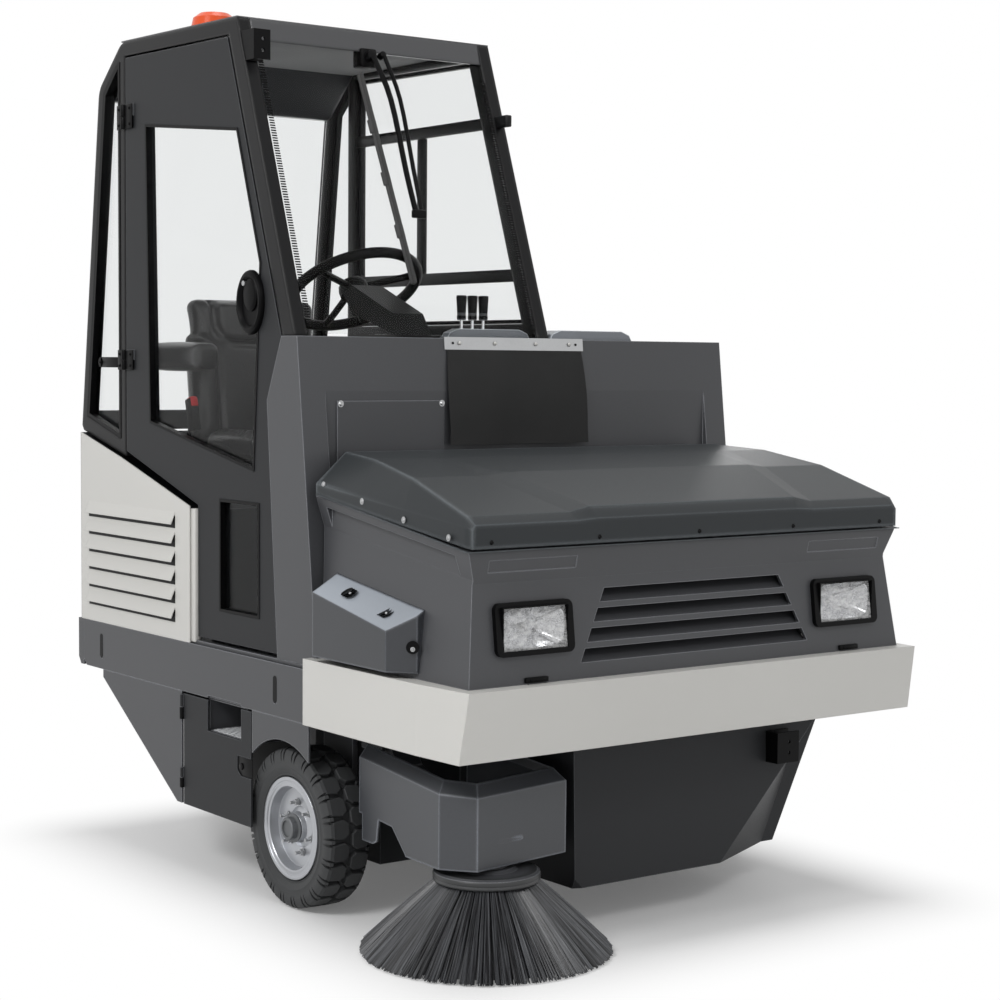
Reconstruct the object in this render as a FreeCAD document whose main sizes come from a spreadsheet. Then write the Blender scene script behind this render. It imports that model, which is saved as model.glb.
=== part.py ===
import FreeCAD, Part
import math
import os
import re
import Sketcher

# Compact ride-on road sweeper with a cab. Millimetres, +Z up, front towards -Y.
# Heights are above the ground. In the sheet, y is measured back from the bumper's
# front face and x from the machine's middle plane (right-hand side is -X). Every
# piece is then shifted so that the model's origin is under the middle of its box.

DOC = FreeCAD.newDocument("road_sweeper")
SHEET = DOC.addObject("Spreadsheet::Sheet", "Dims")
SUBPARTS = []
RIGHT, LEFT = -1, 1

SIZES = (
    # chassis rails, skirts and the sheet they are made of
    ("overall_length", 1870), ("body_half", 672), ("nose_foot_half", 650), ("sheet_wall", 4),
    ("plate_wall", 6),
    ("face_gap", 0.3), ("running_gap", 6), ("shaft_gap", 0.05),
    ("rail_front", 645), ("rail_rear", "=overall_length - 32"), ("rail_bottom", 461), ("rail_top", 589),
    ("rail_depth", 40), ("rail_chamfer", 18), ("slot_width", 12), ("slot_length", 56),
    ("slot_front_y", 797), ("slot_rear_y", "=rail_rear - 110"), ("slot_height", 525),
    ("beam_bottom", 500), ("beam_top", 560), ("beam_width", 60), ("beam_inner", 330),
    ("front_beam_y", 690), ("middle_beam_y", 1270), ("rear_beam_y", "=rail_rear - 60"),
    ("skirt_bottom", 170), ("skirt_front", 906), ("arch_radius", 215),
    ("service_pin_y", 1260), ("service_toe", 1290), ("service_rear", 1718),
    ("service_heel", 440), ("hinge_radius", 5), ("hinge_pin", 2.5),
    ("step_front", 959), ("step_rear", 1129), ("step_bottom", 377), ("step_top", 455),
    ("step_depth", 120),
    # wheels
    ("wheel_radius", 192.5), ("tyre_width", 115), ("bead_radius", 108),
    ("flange_radius", 122), ("flange_half", 50), ("flange_wall", 4.7),
    ("barrel_wall", 7), ("dish_depth", 26), ("dish_wall", 7), ("hub_radius", 38),
    ("hub_depth", 44), ("shoulder_drop", 6.5), ("shoulder_width", 12),
    ("front_wheel_x", "=body_half - 74.5"), ("front_axle_y", 765), ("rear_axle_y", 1545),
    ("carrier_x", "=front_wheel_x - 97.5"), ("carrier_wall", 14), ("carrier_width", 130), ("stub_radius", 34),
    # rear steering head
    ("fork_inner", 70), ("fork_wall", 14), ("fork_width", 90), ("crown_bottom", 402),
    ("crown_top", 424), ("kingpin_radius", 45), ("head_wall", 12),
    ("head_plate_half", 110), ("axle_pin_radius", 16),
    # main broom and its housing
    ("broom_y", 1120), ("broom_radius", 138), ("broom_half", 400),
    ("broom_clear", 3), ("broom_shaft", 20), ("housing_front", 955), ("housing_rear", 1285),
    ("housing_bottom", 60), ("housing_mouth", 330), ("housing_half", 412), ("dust_gap", 10),
    # hopper under the front body
    ("hopper_front", 190), ("hopper_bottom", 104), ("hopper_top", 455),
    ("hopper_toe_half", 212), ("hopper_brow_half", 565), ("hopper_step_y", 300),
    ("hopper_low_half", 493), ("hopper_high_half", 667), ("hopper_cheek_low", 453),
    ("hopper_cheek_high", 610), ("hopper_step_wall", 30), ("hopper_rear", 940),
    ("hopper_body_half", 470), ("recess_x", 236), ("recess_rear", 645), ("hopper_wall", 5),
    ("hanger_x", 380), ("hanger_y", 700), ("mount_x", 366), ("mount_wide", 72), ("mount_low", 334),
    ("mount_high", 410), ("mount_reach", 34), ("mount_hole", 4.5), ("mount_pitch", 27),
    # bumper
    ("bumper_top", 619), ("bumper_bottom", 464), ("bumper_top_half", "=nose_foot_half + 25"),
    ("bumper_side_half", "=nose_foot_half + 40"), ("bumper_kink_y", 176), ("bumper_rear", 640),
    ("bumper_undercut", 26), ("bumper_toe_half", "=nose_foot_half + 38"),
    # front body with the grille
    ("nose_foot_y", 37), ("nose_fold_y", 64), ("nose_lip_y", 48), ("nose_foot", "=bumper_top + face_gap"),
    ("nose_fold", 838), ("nose_lip", 903), ("nose_fold_half", "=nose_foot_half - 27"),
    ("nose_lip_half", "=nose_foot_half - 4"), ("nose_rear_y", 655), ("nose_rear_fold", 924),
    ("nose_rear_lip", 995), ("nose_wall", 9), ("nose_side_in", "=nose_foot_half - 38"),
    ("louvre_low", 650), ("louvre_high", 822), ("louvre_low_half", 347),
    ("louvre_high_half", 261), ("louvre_slot", 29), ("louvre_count", 4),
    ("lamp_x", 472), ("lamp_z", 739), ("lamp_half_width", 105), ("lamp_half_height", 57),
    ("lamp_rim", 8), ("lamp_cheek", 15), ("lamp_stand", 12), ("lamp_depth", 60), ("lamp_corner", 16),
    # hood
    ("hood_front", 40), ("hood_rear", 640), ("hood_wall", 5), ("hood_pivot_z", 1070),
    ("hood_pivot_y", 628), ("hood_ear_x", 330), ("ear_wall", 8), ("ear_pin", 6),
    ("plateau_half", 366), ("plateau_rise", 11), ("plateau_slope", 54),
    # console behind the hood
    ("console_half", "=body_half - 8"), ("console_foot_y", 622), ("console_top_y", 712),
    ("console_top", 1366), ("console_back_y", 782), ("console_knee_y", 849),
    ("console_knee", 1214), ("console_rear_y", 800), ("console_foot", 598),
    ("console_wall", 7), ("recess_top", 1237), ("recess_foot", 930), ("recess_half", 595),
    ("recess_y", "=console_foot_y + (recess_top - console_foot) * (console_top_y - console_foot_y)"
     " / (console_top - console_foot)"),
    ("flap_left", -240), ("flap_right", 180), ("flap_bottom", 1105),
    ("flap_wall", 5), ("strip_bottom", 1338), ("strip_wall", 3), ("strip_over", 7),
    ("dome_rise", 14), ("dome_top", 24),
    # cab
    ("cab_right", "=console_half - 4"), ("cab_left", 92), ("cab_depth", 35), ("cab_foot_y", 728),
    ("cab_foot", "=console_top + face_gap"), ("cab_brow_y", 1000), ("cab_brow", 2135),
    ("cab_roof_rear_y", 1617),
    ("cab_roof_rear", "=cab_brow + 10"), ("cab_bend_y", 1752), ("cab_bend", "=cab_brow - 101"),
    ("cab_rear_y", "=overall_length - 4"), ("cab_corner", 60),
    ("cab_rear", 1126), ("post_y", 1600), ("post_width", 26), ("pillar_width", 54),
    ("roof_rail", 36), ("glass_wall", 5), ("roof_wall", 4), ("header_depth", 52),
    # rear body
    ("deck_front", 1190), ("deck_foot", "=console_foot"), ("deck_front_top", 930), ("deck_mid_y", 1607),
    ("deck_mid", 1046), ("deck_rear_y", "=overall_length - 20"), ("deck_rear", 1106), ("panel_front", 1223),
    ("rear_louvre_front", 1300), ("rear_louvre_rear", "=deck_rear_y - 50"), ("rear_louvre_first", 644),
    ("rear_louvre_pitch", 48.5), ("rear_louvre_high", 42), ("rear_louvre_out", 14),
    ("rear_louvre_count", 6), ("lid_inner_x", 146), ("lid_front_y", 856),
    ("lid_front_top", 1180), ("lid_crown_y", 1480), ("lid_crown", 1232), ("lid_rear_top", 1170),
    ("lid_pivot_x", 134),
    ("lid_pivot_z", "=lid_crown + 4"),
    ("engine_half", 225), ("engine_x", 180), ("engine_front", 1300), ("engine_rear", 1740),
    ("engine_high", 320),
    # driver's place
    ("seat_x", -285), ("seat_half", 225), ("seat_front", 1165), ("seat_rear", 1590),
    ("seat_low", 1042), ("cushion_top", 1120), ("back_top", 1490), ("back_wall", 95),
    ("wheel_y", 1060), ("wheel_z", 1490), ("hand_ring", 170), ("hand_grip", 14),
    ("column_tilt", 32),
    # side brush
    ("brush_x", 480), ("brush_y", 200), ("brush_radius", 285), ("brush_ring", 119),
    ("brush_tip", 3), ("brush_top", 166), ("plate_lip", 182), ("plate_top", 192), ("bundle_count", 44),
    ("bundle_gap", 5), ("bundle_depth", 9), ("cover_low", 200),
    ("cover_fold", 352), ("cover_bevel", 27), ("cover_wall", 5), ("cover_tilt", 4.2),
    ("cover_end_x", 278), ("cover_end_y", 173), ("cover_nose_x", 556), ("cover_nose_y", 131),
    ("cover_cheek_x", 611), ("cover_cheek_y", 200), ("cover_tail_x", 590), ("cover_tail_y", 553),
    ("arm_half", 34), ("motor_radius", 46), ("arm_pivot_y", 575), ("arm_pivot_z", 420),
    ("pivot_radius", 12),
    # small pieces
    ("lever_y", 822), ("lever_foot", 1290), ("lever_top", 1474), ("box_foot", 632),
    ("side_reach", "=nose_foot_half + 50"), ("handle_y", 925), ("handle_z", 1447), ("handle_half", 60),
    ("handle_stretch", 18), ("handle_out", 14),
    ("box_front", 224), ("box_rear", 582), ("beacon_radius", 62), ("beacon_high", 46),
    ("beacon_x", 556), ("beacon_y", 1300),
)


def fill_sheet():
    for row, (name, value) in enumerate(SIZES, start=1):
        SHEET.set("A%d" % row, name)
        SHEET.set("B%d" % row, str(value))
        SHEET.setAlias("B%d" % row, name)
    last = len(SIZES)
    for row, (name, formula) in enumerate((
            ("shift_x", "=(brush_x + brush_radius - side_reach) / 2"),
            ("shift_y", "=0 - (overall_length + brush_y - brush_radius) / 2")), start=last + 1):
        SHEET.set("A%d" % row, name)
        SHEET.set("B%d" % row, formula)
        SHEET.setAlias("B%d" % row, name)
    DOC.recompute()


def cell(text):
    """A formula of size names, written so that it reads the sheet."""
    return re.sub(r"\b([a-z]+(?:_[a-z]+)+)\b", r"Dims.\1", str(text))


def size(name):
    return float(SHEET.get(name))


def put(piece, x="0", y="0", z="0"):
    """Place a piece by the machine's own coordinates."""
    piece.setExpression("Placement.Base.x", cell("shift_x + (%s)" % x))
    piece.setExpression("Placement.Base.y", cell("shift_y + (%s)" % y))
    piece.setExpression("Placement.Base.z", cell(z))


def new_body(label, x="0", y="0", z="0"):
    piece = DOC.addObject("PartDesign::Body", "Body_" + label)
    piece.Label = label
    put(piece, x, y, z)
    SUBPARTS.append(piece)
    return piece


def together(label, pieces):
    """Like pieces on one carrier share a node, as solids that stand apart."""
    group = DOC.addObject("Part::Compound", "Group_" + label)
    group.Links = pieces
    group.Label = label
    for piece in pieces:
        piece.Label = label + "_piece"
        SUBPARTS.remove(piece)
    SUBPARTS.append(group)


def fused(label, pieces):
    """One solid from several."""
    whole = DOC.addObject("Part::MultiFuse", "Fused_" + label)
    whole.Shapes = pieces
    whole.Label = label
    SUBPARTS.append(whole)


def rod(name, radius, length, rotation):
    item = DOC.addObject("Part::Cylinder", name)
    item.setExpression("Radius", cell(radius))
    item.setExpression("Height", cell(length))
    item.Placement.Rotation = rotation
    return item


def origin_part(piece, role):
    return [item for item in piece.Origin.OriginFeatures if item.Role == role][0]


def sketch_on(piece, plane, offset):
    sketch = piece.newObject("Sketcher::SketchObject", "Sketch")
    sketch.AttachmentSupport = [(origin_part(piece, plane), "")]
    sketch.MapMode = "FlatFace"
    sketch.setExpression("AttachmentOffset.Base.z", cell(offset))
    return sketch


def bind(sketch, constraint, text):
    index = sketch.addConstraint(constraint)
    sketch.setExpression("Constraints[%d]" % index, cell(text))


def outline(piece, plane, points, offset="0"):
    """A closed outline of straight edges, each corner held by two sizes."""
    sketch = sketch_on(piece, plane, offset)
    count = len(points)
    ring = [FreeCAD.Vector(math.cos(2 * math.pi * i / count), math.sin(2 * math.pi * i / count), 0)
            for i in range(count)]
    for i in range(count):
        sketch.addGeometry(Part.LineSegment(ring[i], ring[(i + 1) % count]))
    for i in range(count):
        sketch.addConstraint(Sketcher.Constraint("Coincident", i, 2, (i + 1) % count, 1))
    for i, (across, up) in enumerate(points):
        bind(sketch, Sketcher.Constraint("DistanceX", -1, 1, i, 1, ring[i].x), across)
        bind(sketch, Sketcher.Constraint("DistanceY", -1, 1, i, 1, ring[i].y), up)
    return sketch


def disc(piece, plane, across, up, radius, offset="0"):
    sketch = sketch_on(piece, plane, offset)
    sketch.addGeometry(Part.Circle(FreeCAD.Vector(1, 1, 0), FreeCAD.Vector(0, 0, 1), 1))
    bind(sketch, Sketcher.Constraint("DistanceX", -1, 1, 0, 3, 1), across)
    bind(sketch, Sketcher.Constraint("DistanceY", -1, 1, 0, 3, 1), up)
    bind(sketch, Sketcher.Constraint("Radius", 0, 1), radius)
    return sketch


PLANES = {"x": ("YZ_Plane", 1), "y": ("XZ_Plane", -1), "z": ("XY_Plane", 1)}


def feature(piece, kind, sketch, low, high):
    item = piece.newObject(kind, kind.split("::")[1])
    item.Profile = sketch
    item.setExpression("Length", cell("(%s) - (%s)" % (high, low)))
    return item


def draw(piece, axis, shape, anchor):
    """A sketch across one axis at a place along it. A shape is corners or (across, up, radius)."""
    plane, sense = PLANES[axis]
    offset = anchor if sense > 0 else "-(%s)" % anchor
    if isinstance(shape, tuple):
        return disc(piece, plane, shape[0], shape[1], shape[2], offset)
    return outline(piece, plane, shape, offset)


def pad(piece, axis, shape, low, high):
    """Extrude a shape along an axis between two places."""
    anchor = low if PLANES[axis][1] > 0 else high
    return feature(piece, "PartDesign::Pad", draw(piece, axis, shape, anchor), low, high)


def cut(piece, axis, shape, low, high):
    """Cut a shape along an axis between two places."""
    anchor = high if PLANES[axis][1] > 0 else low
    return feature(piece, "PartDesign::Pocket", draw(piece, axis, shape, anchor), low, high)


def loft(piece, axis, sections, subtractive=False, ruled=True):
    """Join outlines that stand at places along an axis."""
    drawn = [draw(piece, axis, corners, place) for place, corners in sections]
    kind = "PartDesign::SubtractiveLoft" if subtractive else "PartDesign::AdditiveLoft"
    item = piece.newObject(kind, "Loft")
    item.Profile = drawn[0]
    item.Sections = drawn[1:]
    item.Ruled = ruled
    return item


def turn(piece, points, axis="X_Axis", plane="XY_Plane"):
    """Revolve an outline about an axis of the piece."""
    item = piece.newObject("PartDesign::Revolution", "Revolution")
    item.Profile = outline(piece, plane, points)
    item.ReferenceAxis = (origin_part(piece, axis), [""])
    item.Angle = 360
    return item


def polar(piece, item, count):
    """Repeat a feature round the piece's upright axis."""
    ring = piece.newObject("PartDesign::PolarPattern", "PolarPattern")
    ring.Originals = [item]
    ring.Axis = (origin_part(piece, "Z_Axis"), [""])
    ring.Angle = 360
    ring.Occurrences = count
    piece.Tip = ring
    return ring


def soften(piece, radius, wanted):
    """Round the edges of the tip that a test picks."""
    DOC.recompute()
    base = piece.Tip
    names = ["Edge%d" % (i + 1) for i, edge in enumerate(base.Shape.Edges) if wanted(edge)]
    item = piece.newObject("PartDesign::Fillet", "Fillet")
    item.Base = (base, names)
    item.setExpression("Radius", cell(radius))
    return item


def bevel(piece, width, wanted):
    """Chamfer the edges of the tip that a test picks."""
    DOC.recompute()
    base = piece.Tip
    names = ["Edge%d" % (i + 1) for i, edge in enumerate(base.Shape.Edges) if wanted(edge)]
    item = piece.newObject("PartDesign::Chamfer", "Chamfer")
    item.Base = (base, names)
    item.setExpression("Size", cell(width))
    return item


def along(edge, axis):
    """True where a straight edge runs along an axis."""
    if edge.Curve.TypeId != "Part::GeomLine":
        return False
    return abs(getattr(edge.Curve.Direction, axis)) > 0.999


def box(low, high, bottom, top):
    """Corners of a rectangle."""
    return [(low, bottom), (high, bottom), (high, top), (low, top)]


def flip(side, text):
    return str(text) if side > 0 else "-(%s)" % text


def span(side, inner, outer):
    """Two places across the machine, in rising order, on either side."""
    if side > 0:
        return str(inner), str(outer)
    return "-(%s)" % outer, "-(%s)" % inner


def mirror_points(points):
    """Half an outline in (across, up) joined with its mirror image."""
    return list(points) + [("-(%s)" % across, up) for across, up in reversed(points)]


def name_side(side):
    return "right" if side == RIGHT else "left"


def hinge_fixed(piece, x, y, low, high):
    """The lower knuckle of a hinge, with the pin that stands in it."""
    middle = "((%s) + (%s)) / 2" % (low, high)
    pad(piece, "z", (x, y, "hinge_radius"), low, middle + " - 0.5")
    DOC.recompute()
    pad(piece, "z", (x, y, "hinge_pin"), middle + " - 1", high)


def hinge_moving(piece, x, y, low, high):
    """The upper knuckle of a hinge, bored for the pin."""
    middle = "((%s) + (%s)) / 2" % (low, high)
    pad(piece, "z", (x, y, "hinge_radius"), middle + " + 0.5", high)
    DOC.recompute()
    cut(piece, "z", (x, y, "hinge_pin + shaft_gap"), middle + " - 1", "(%s) + 1" % high)


# Chassis


def side_rail(side):
    piece = new_body("side_rail_" + name_side(side))
    low, high = span(side, "body_half - rail_depth", "body_half")
    pad(piece, "x", [("rail_front", "rail_bottom"), ("rail_rear - rail_chamfer", "rail_bottom"),
                     ("rail_rear", "rail_bottom + rail_chamfer"), ("rail_rear", "rail_top"),
                     ("rail_front", "rail_top")], low, high)
    inner = span(side, "body_half - rail_depth - 1", "body_half - plate_wall")
    cut(piece, "x", box("rail_front - 1", "rail_rear - plate_wall", "rail_bottom + plate_wall",
                        "rail_top - plate_wall"), *inner)
    web = span(side, "body_half - plate_wall - 1", "body_half + 1")
    straight = "slot_length / 2 - slot_width / 2"
    for place in ("slot_front_y", "slot_rear_y"):
        cut(piece, "x", box(place + " - slot_width / 2", place + " + slot_width / 2",
                            "slot_height - " + straight, "slot_height + " + straight), *web)
        for end in ("slot_height - (%s)" % straight, "slot_height + " + straight):
            cut(piece, "x", (place, end, "slot_width / 2"), *web)
    if side == RIGHT:
        cut(piece, "x", [("step_front - 4", "rail_bottom - 1"), ("step_front + 4", "rail_bottom + plate_wall"),
                         ("step_rear", "rail_bottom + plate_wall"), ("step_rear", "rail_bottom - 1")], *web)
    return piece


def sub_frame():
    piece = new_body("sub_frame")
    reach = "body_half - rail_depth - face_gap"
    for start in ("front_beam_y", "middle_beam_y", "rear_beam_y"):
        pad(piece, "z", box("-(%s)" % reach, reach, start, start + " + beam_width"),
            "beam_bottom", "beam_top")
        DOC.recompute()
    for side in (RIGHT, LEFT):
        low, high = span(side, "beam_inner", "beam_inner + beam_width")
        pad(piece, "z", box(low, high, "front_beam_y", "rear_beam_y + beam_width"),
            "beam_bottom", "beam_top")
    pad(piece, "z", box("-beam_inner", "beam_inner", "rear_axle_y - head_plate_half",
                        "rear_axle_y + head_plate_half"), "beam_bottom", "beam_bottom + head_wall")
    for side in (RIGHT, LEFT):
        low, high = span(side, "beam_inner", "body_half - rail_depth - face_gap")
        pad(piece, "z", box(low, high, "front_beam_y", "front_beam_y + beam_width * 2.4"),
            "rail_bottom", "beam_bottom")


def wheel_carrier(side):
    piece = new_body("wheel_carrier_" + name_side(side), flip(side, 0), "front_axle_y", "wheel_radius")
    low, high = span(side, "carrier_x", "carrier_x + carrier_wall")
    top = "rail_bottom - wheel_radius"
    pad(piece, "x", [("-carrier_width / 2", "-stub_radius"), ("carrier_width / 2", "-stub_radius"),
                     ("carrier_width / 2", top), ("-carrier_width / 2", top)], low, high)
    inner = span(side, "carrier_x + carrier_wall - 1", "front_wheel_x + dish_depth - hub_depth - face_gap")
    pad(piece, "x", ("0", "0", "stub_radius"), *inner)
    soften(piece, "stub_radius - 4", lambda edge: along(edge, "x") and edge.BoundBox.ZMax < 0)
    return piece


def tyre(label, x, y):
    piece = new_body(label, x, y, "wheel_radius")
    half = "tyre_width / 2"
    points = [("flange_half - flange_wall - face_gap", "bead_radius"),
              ("flange_half - flange_wall - face_gap", "flange_radius + 2"),
              (half, "flange_radius + 12"), (half, "wheel_radius - 26"),
              (half + " - shoulder_width / 2", "wheel_radius - shoulder_drop"),
              (half + " - shoulder_width", "wheel_radius")]
    turn(piece, [(across, up) for across, up in points]
         + [("-(%s)" % across, up) for across, up in reversed(points)])


def rim(label, x, y, side):
    piece = new_body(label, x, y, "wheel_radius")
    barrel = "bead_radius - face_gap"
    inner = barrel + " - barrel_wall"
    out = lambda text: flip(side, text)
    turn(piece, [(out("-flange_half"), inner), (out("-flange_half"), "flange_radius"),
                 (out("flange_wall - flange_half"), "flange_radius"),
                 (out("flange_wall - flange_half"), barrel),
                 (out("flange_half - flange_wall"), barrel),
                 (out("flange_half - flange_wall"), "flange_radius"),
                 (out("flange_half"), "flange_radius"), (out("flange_half"), inner),
                 (out("dish_depth"), inner + " - 6"), (out("dish_depth - 6"), "hub_radius + 12"),
                 (out("dish_depth"), "hub_radius"), (out("dish_depth + 12"), "hub_radius - 4"),
                 (out("dish_depth + 12"), "0"), (out("dish_depth - hub_depth"), "0"),
                 (out("dish_depth - hub_depth"), "hub_radius"),
                 (out("dish_depth - dish_wall - 6"), "hub_radius + 6"),
                 (out("dish_depth - dish_wall"), inner + " - 2")])


def steer_fork():
    piece = new_body("steer_fork", "0", "rear_axle_y", "0")
    half = "fork_width / 2"
    wide = "fork_inner + fork_wall"
    pad(piece, "z", box("-(%s)" % wide, wide, "-(%s)" % half, half), "crown_bottom", "crown_top")
    DOC.recompute()
    for side in (RIGHT, LEFT):
        low, high = span(side, "fork_inner", wide)
        pad(piece, "x", [("-(%s)" % half, "wheel_radius"), ("0", "wheel_radius - 40"),
                         (half, "wheel_radius"), (half, "crown_bottom"), ("-(%s)" % half, "crown_bottom")],
            low, high)
        near = "dish_depth + 12" if side == RIGHT else "hub_depth - dish_depth"
        hub = span(side, near + " + face_gap", "fork_inner + 1")
        pad(piece, "x", ("0", "wheel_radius", "axle_pin_radius + 8"), *hub)
    pad(piece, "z", ("0", "0", "kingpin_radius"), "crown_top", "beam_bottom - face_gap")


# Brooms and hopper


def broom_housing():
    piece = new_body("broom_housing")
    pad(piece, "x", box("housing_front", "housing_rear", "housing_bottom", "beam_bottom"),
        "-(housing_half + sheet_wall)", "housing_half + sheet_wall")
    cut(piece, "x", box("housing_front + sheet_wall", "housing_rear - sheet_wall",
                        "housing_bottom - 1", "housing_mouth"), "-housing_half", "housing_half")
    cut(piece, "x", box("housing_front + sheet_wall", "housing_rear - sheet_wall",
                        "housing_mouth + sheet_wall", "beam_bottom + 1"), "-housing_half", "housing_half")
    cut(piece, "x", box("housing_front - 1", "housing_front + sheet_wall + 1",
                        "housing_bottom - 1", "housing_mouth - 30"),
        "30 - housing_half", "housing_half - 30")


def main_broom():
    piece = new_body("main_broom", "0", "broom_y", "broom_radius + broom_clear")
    end = "housing_half - face_gap"
    turn(piece, [("-(%s)" % end, "0"), ("-(%s)" % end, "broom_shaft"), ("-broom_half", "broom_shaft"),
                 ("-broom_half", "broom_radius"), ("broom_half", "broom_radius"),
                 ("broom_half", "broom_shaft"), (end, "broom_shaft"), (end, "0")])


def dust_flap():
    """The rubber strip behind the main broom."""
    piece = new_body("dust_flap")
    pad(piece, "z", box("-housing_half", "housing_half", "housing_rear + face_gap",
                        "housing_rear + face_gap + flap_wall"), "dust_gap", "housing_bottom + 60")
    return piece


def hopper():
    piece = new_body("hopper")
    edge = "hopper_step_y + hopper_step_wall"
    low = [("hopper_toe_half", "hopper_front"), ("hopper_cheek_low", "hopper_step_y"),
           ("hopper_low_half", "hopper_step_y"), ("hopper_low_half", edge)]
    high = [("hopper_brow_half", "hopper_front + 10"), ("hopper_cheek_high", "hopper_step_y"),
            ("hopper_high_half", "hopper_step_y"), ("hopper_high_half", edge)]
    loft(piece, "z", [("hopper_bottom", mirror_points(low)), ("hopper_top", mirror_points(high))])
    DOC.recompute()
    pad(piece, "z", box("-hopper_body_half", "hopper_body_half", "hopper_step_y + 10", "hopper_rear"),
        "hopper_bottom", "hopper_top")
    cut(piece, "z", box("-(hopper_high_half + 40)", "-recess_x", "0", "recess_rear"),
        "hopper_bottom - 1", "hopper_top + 1")
    for side in (RIGHT, LEFT):
        low, high = span(side, "hanger_x", "hanger_x + beam_width")
        pad(piece, "z", box(low, high, "hanger_y", "hanger_y + 2 * beam_width"), "hopper_top - 1",
            "rail_bottom - face_gap")
        DOC.recompute()
    inside = "hopper_bottom + hopper_wall", "hopper_top - hopper_wall"
    cut(piece, "z", box("hopper_wall - recess_x", "hopper_body_half - hopper_wall",
                        "hopper_step_y + hopper_step_wall", "hopper_rear + 1"), *inside)
    cut(piece, "z", box("hopper_wall - hopper_body_half", "0",
                        "recess_rear + hopper_wall", "hopper_rear + 1"), *inside)


def brush_arm():
    """The arm with the motor on its end; it lies inside the cover and hangs from the pivot."""
    piece = new_body("brush_arm")
    low, high = "-brush_x - arm_half", "-brush_x + arm_half"
    pad(piece, "x", [("brush_y - motor_radius", "cover_low + 60"), ("brush_y + 60", "cover_low + 60"),
                     ("arm_pivot_y + 18", "arm_pivot_z - 14"), ("arm_pivot_y + 18", "arm_pivot_z + 16"),
                     ("arm_pivot_y - 18", "arm_pivot_z + 16"), ("arm_pivot_y - 100", "cover_low + 130"),
                     ("brush_y - motor_radius", "cover_low + 110")], low, high)
    DOC.recompute()
    pad(piece, "z", ("-brush_x", "brush_y", "motor_radius"), "plate_top + face_gap", "cover_low + 62")
    cut(piece, "x", ("arm_pivot_y", "arm_pivot_z", "pivot_radius + shaft_gap"), low + " - 1", high + " + 1")


def brush_bracket():
    piece = new_body("brush_bracket")
    for offset in (-1, 1):
        near = "-brush_x + (%d) * (arm_half + running_gap)" % offset
        far = "-brush_x + (%d) * (arm_half + running_gap + 10)" % offset
        low, high = (far, near) if offset < 0 else (near, far)
        pad(piece, "x", box("arm_pivot_y - 26", "arm_pivot_y + 60", "arm_pivot_z - 24",
                            "beam_bottom"), low, high)
        DOC.recompute()
    half = "(arm_half + running_gap + 10)"
    pad(piece, "z", box("-brush_x - " + half, "-brush_x + " + half,
                        "arm_pivot_y - 26", "front_beam_y"), "beam_bottom", "beam_bottom + 10")
    DOC.recompute()
    pad(piece, "x", ("arm_pivot_y", "arm_pivot_z", "pivot_radius"), "-brush_x - " + half, "-brush_x + " + half)


def cover_plan(inset, inner=False):
    """The cover in plan, moved inward; the inside runs on past the open rear."""
    run = "1" if inner else "0"
    slant = "(%s) * 0.6" % inset
    return [("-cover_end_x - (%s)" % inset, "cover_end_y + (%s)" % inset),
            ("-cover_nose_x + " + slant, "cover_nose_y + (%s)" % inset),
            ("-cover_cheek_x + (%s)" % inset, "cover_cheek_y + " + slant),
            ("-cover_tail_x + (%s)" % inset, "cover_tail_y + " + run),
            ("-cover_end_x - (%s)" % inset, "cover_tail_y + " + run)]


def rising(piece, corners, level):
    """An outline on a plane that rises towards the rear."""
    sketch = outline(piece, "XY_Plane", corners, level)
    sketch.AttachmentOffset = FreeCAD.Placement(FreeCAD.Vector(0, 0, 0),
                                                FreeCAD.Rotation(FreeCAD.Vector(1, 0, 0), 1))
    sketch.setExpression("AttachmentOffset.Rotation.Angle", cell("cover_tilt * 1deg"))
    return sketch


def skin(piece, lower, upper, subtractive=False):
    """A straight-sided body between two drawn outlines."""
    kind = "PartDesign::SubtractiveLoft" if subtractive else "PartDesign::AdditiveLoft"
    item = piece.newObject(kind, "Loft")
    item.Profile = lower
    item.Sections = [upper]
    item.Ruled = True
    return item


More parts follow.
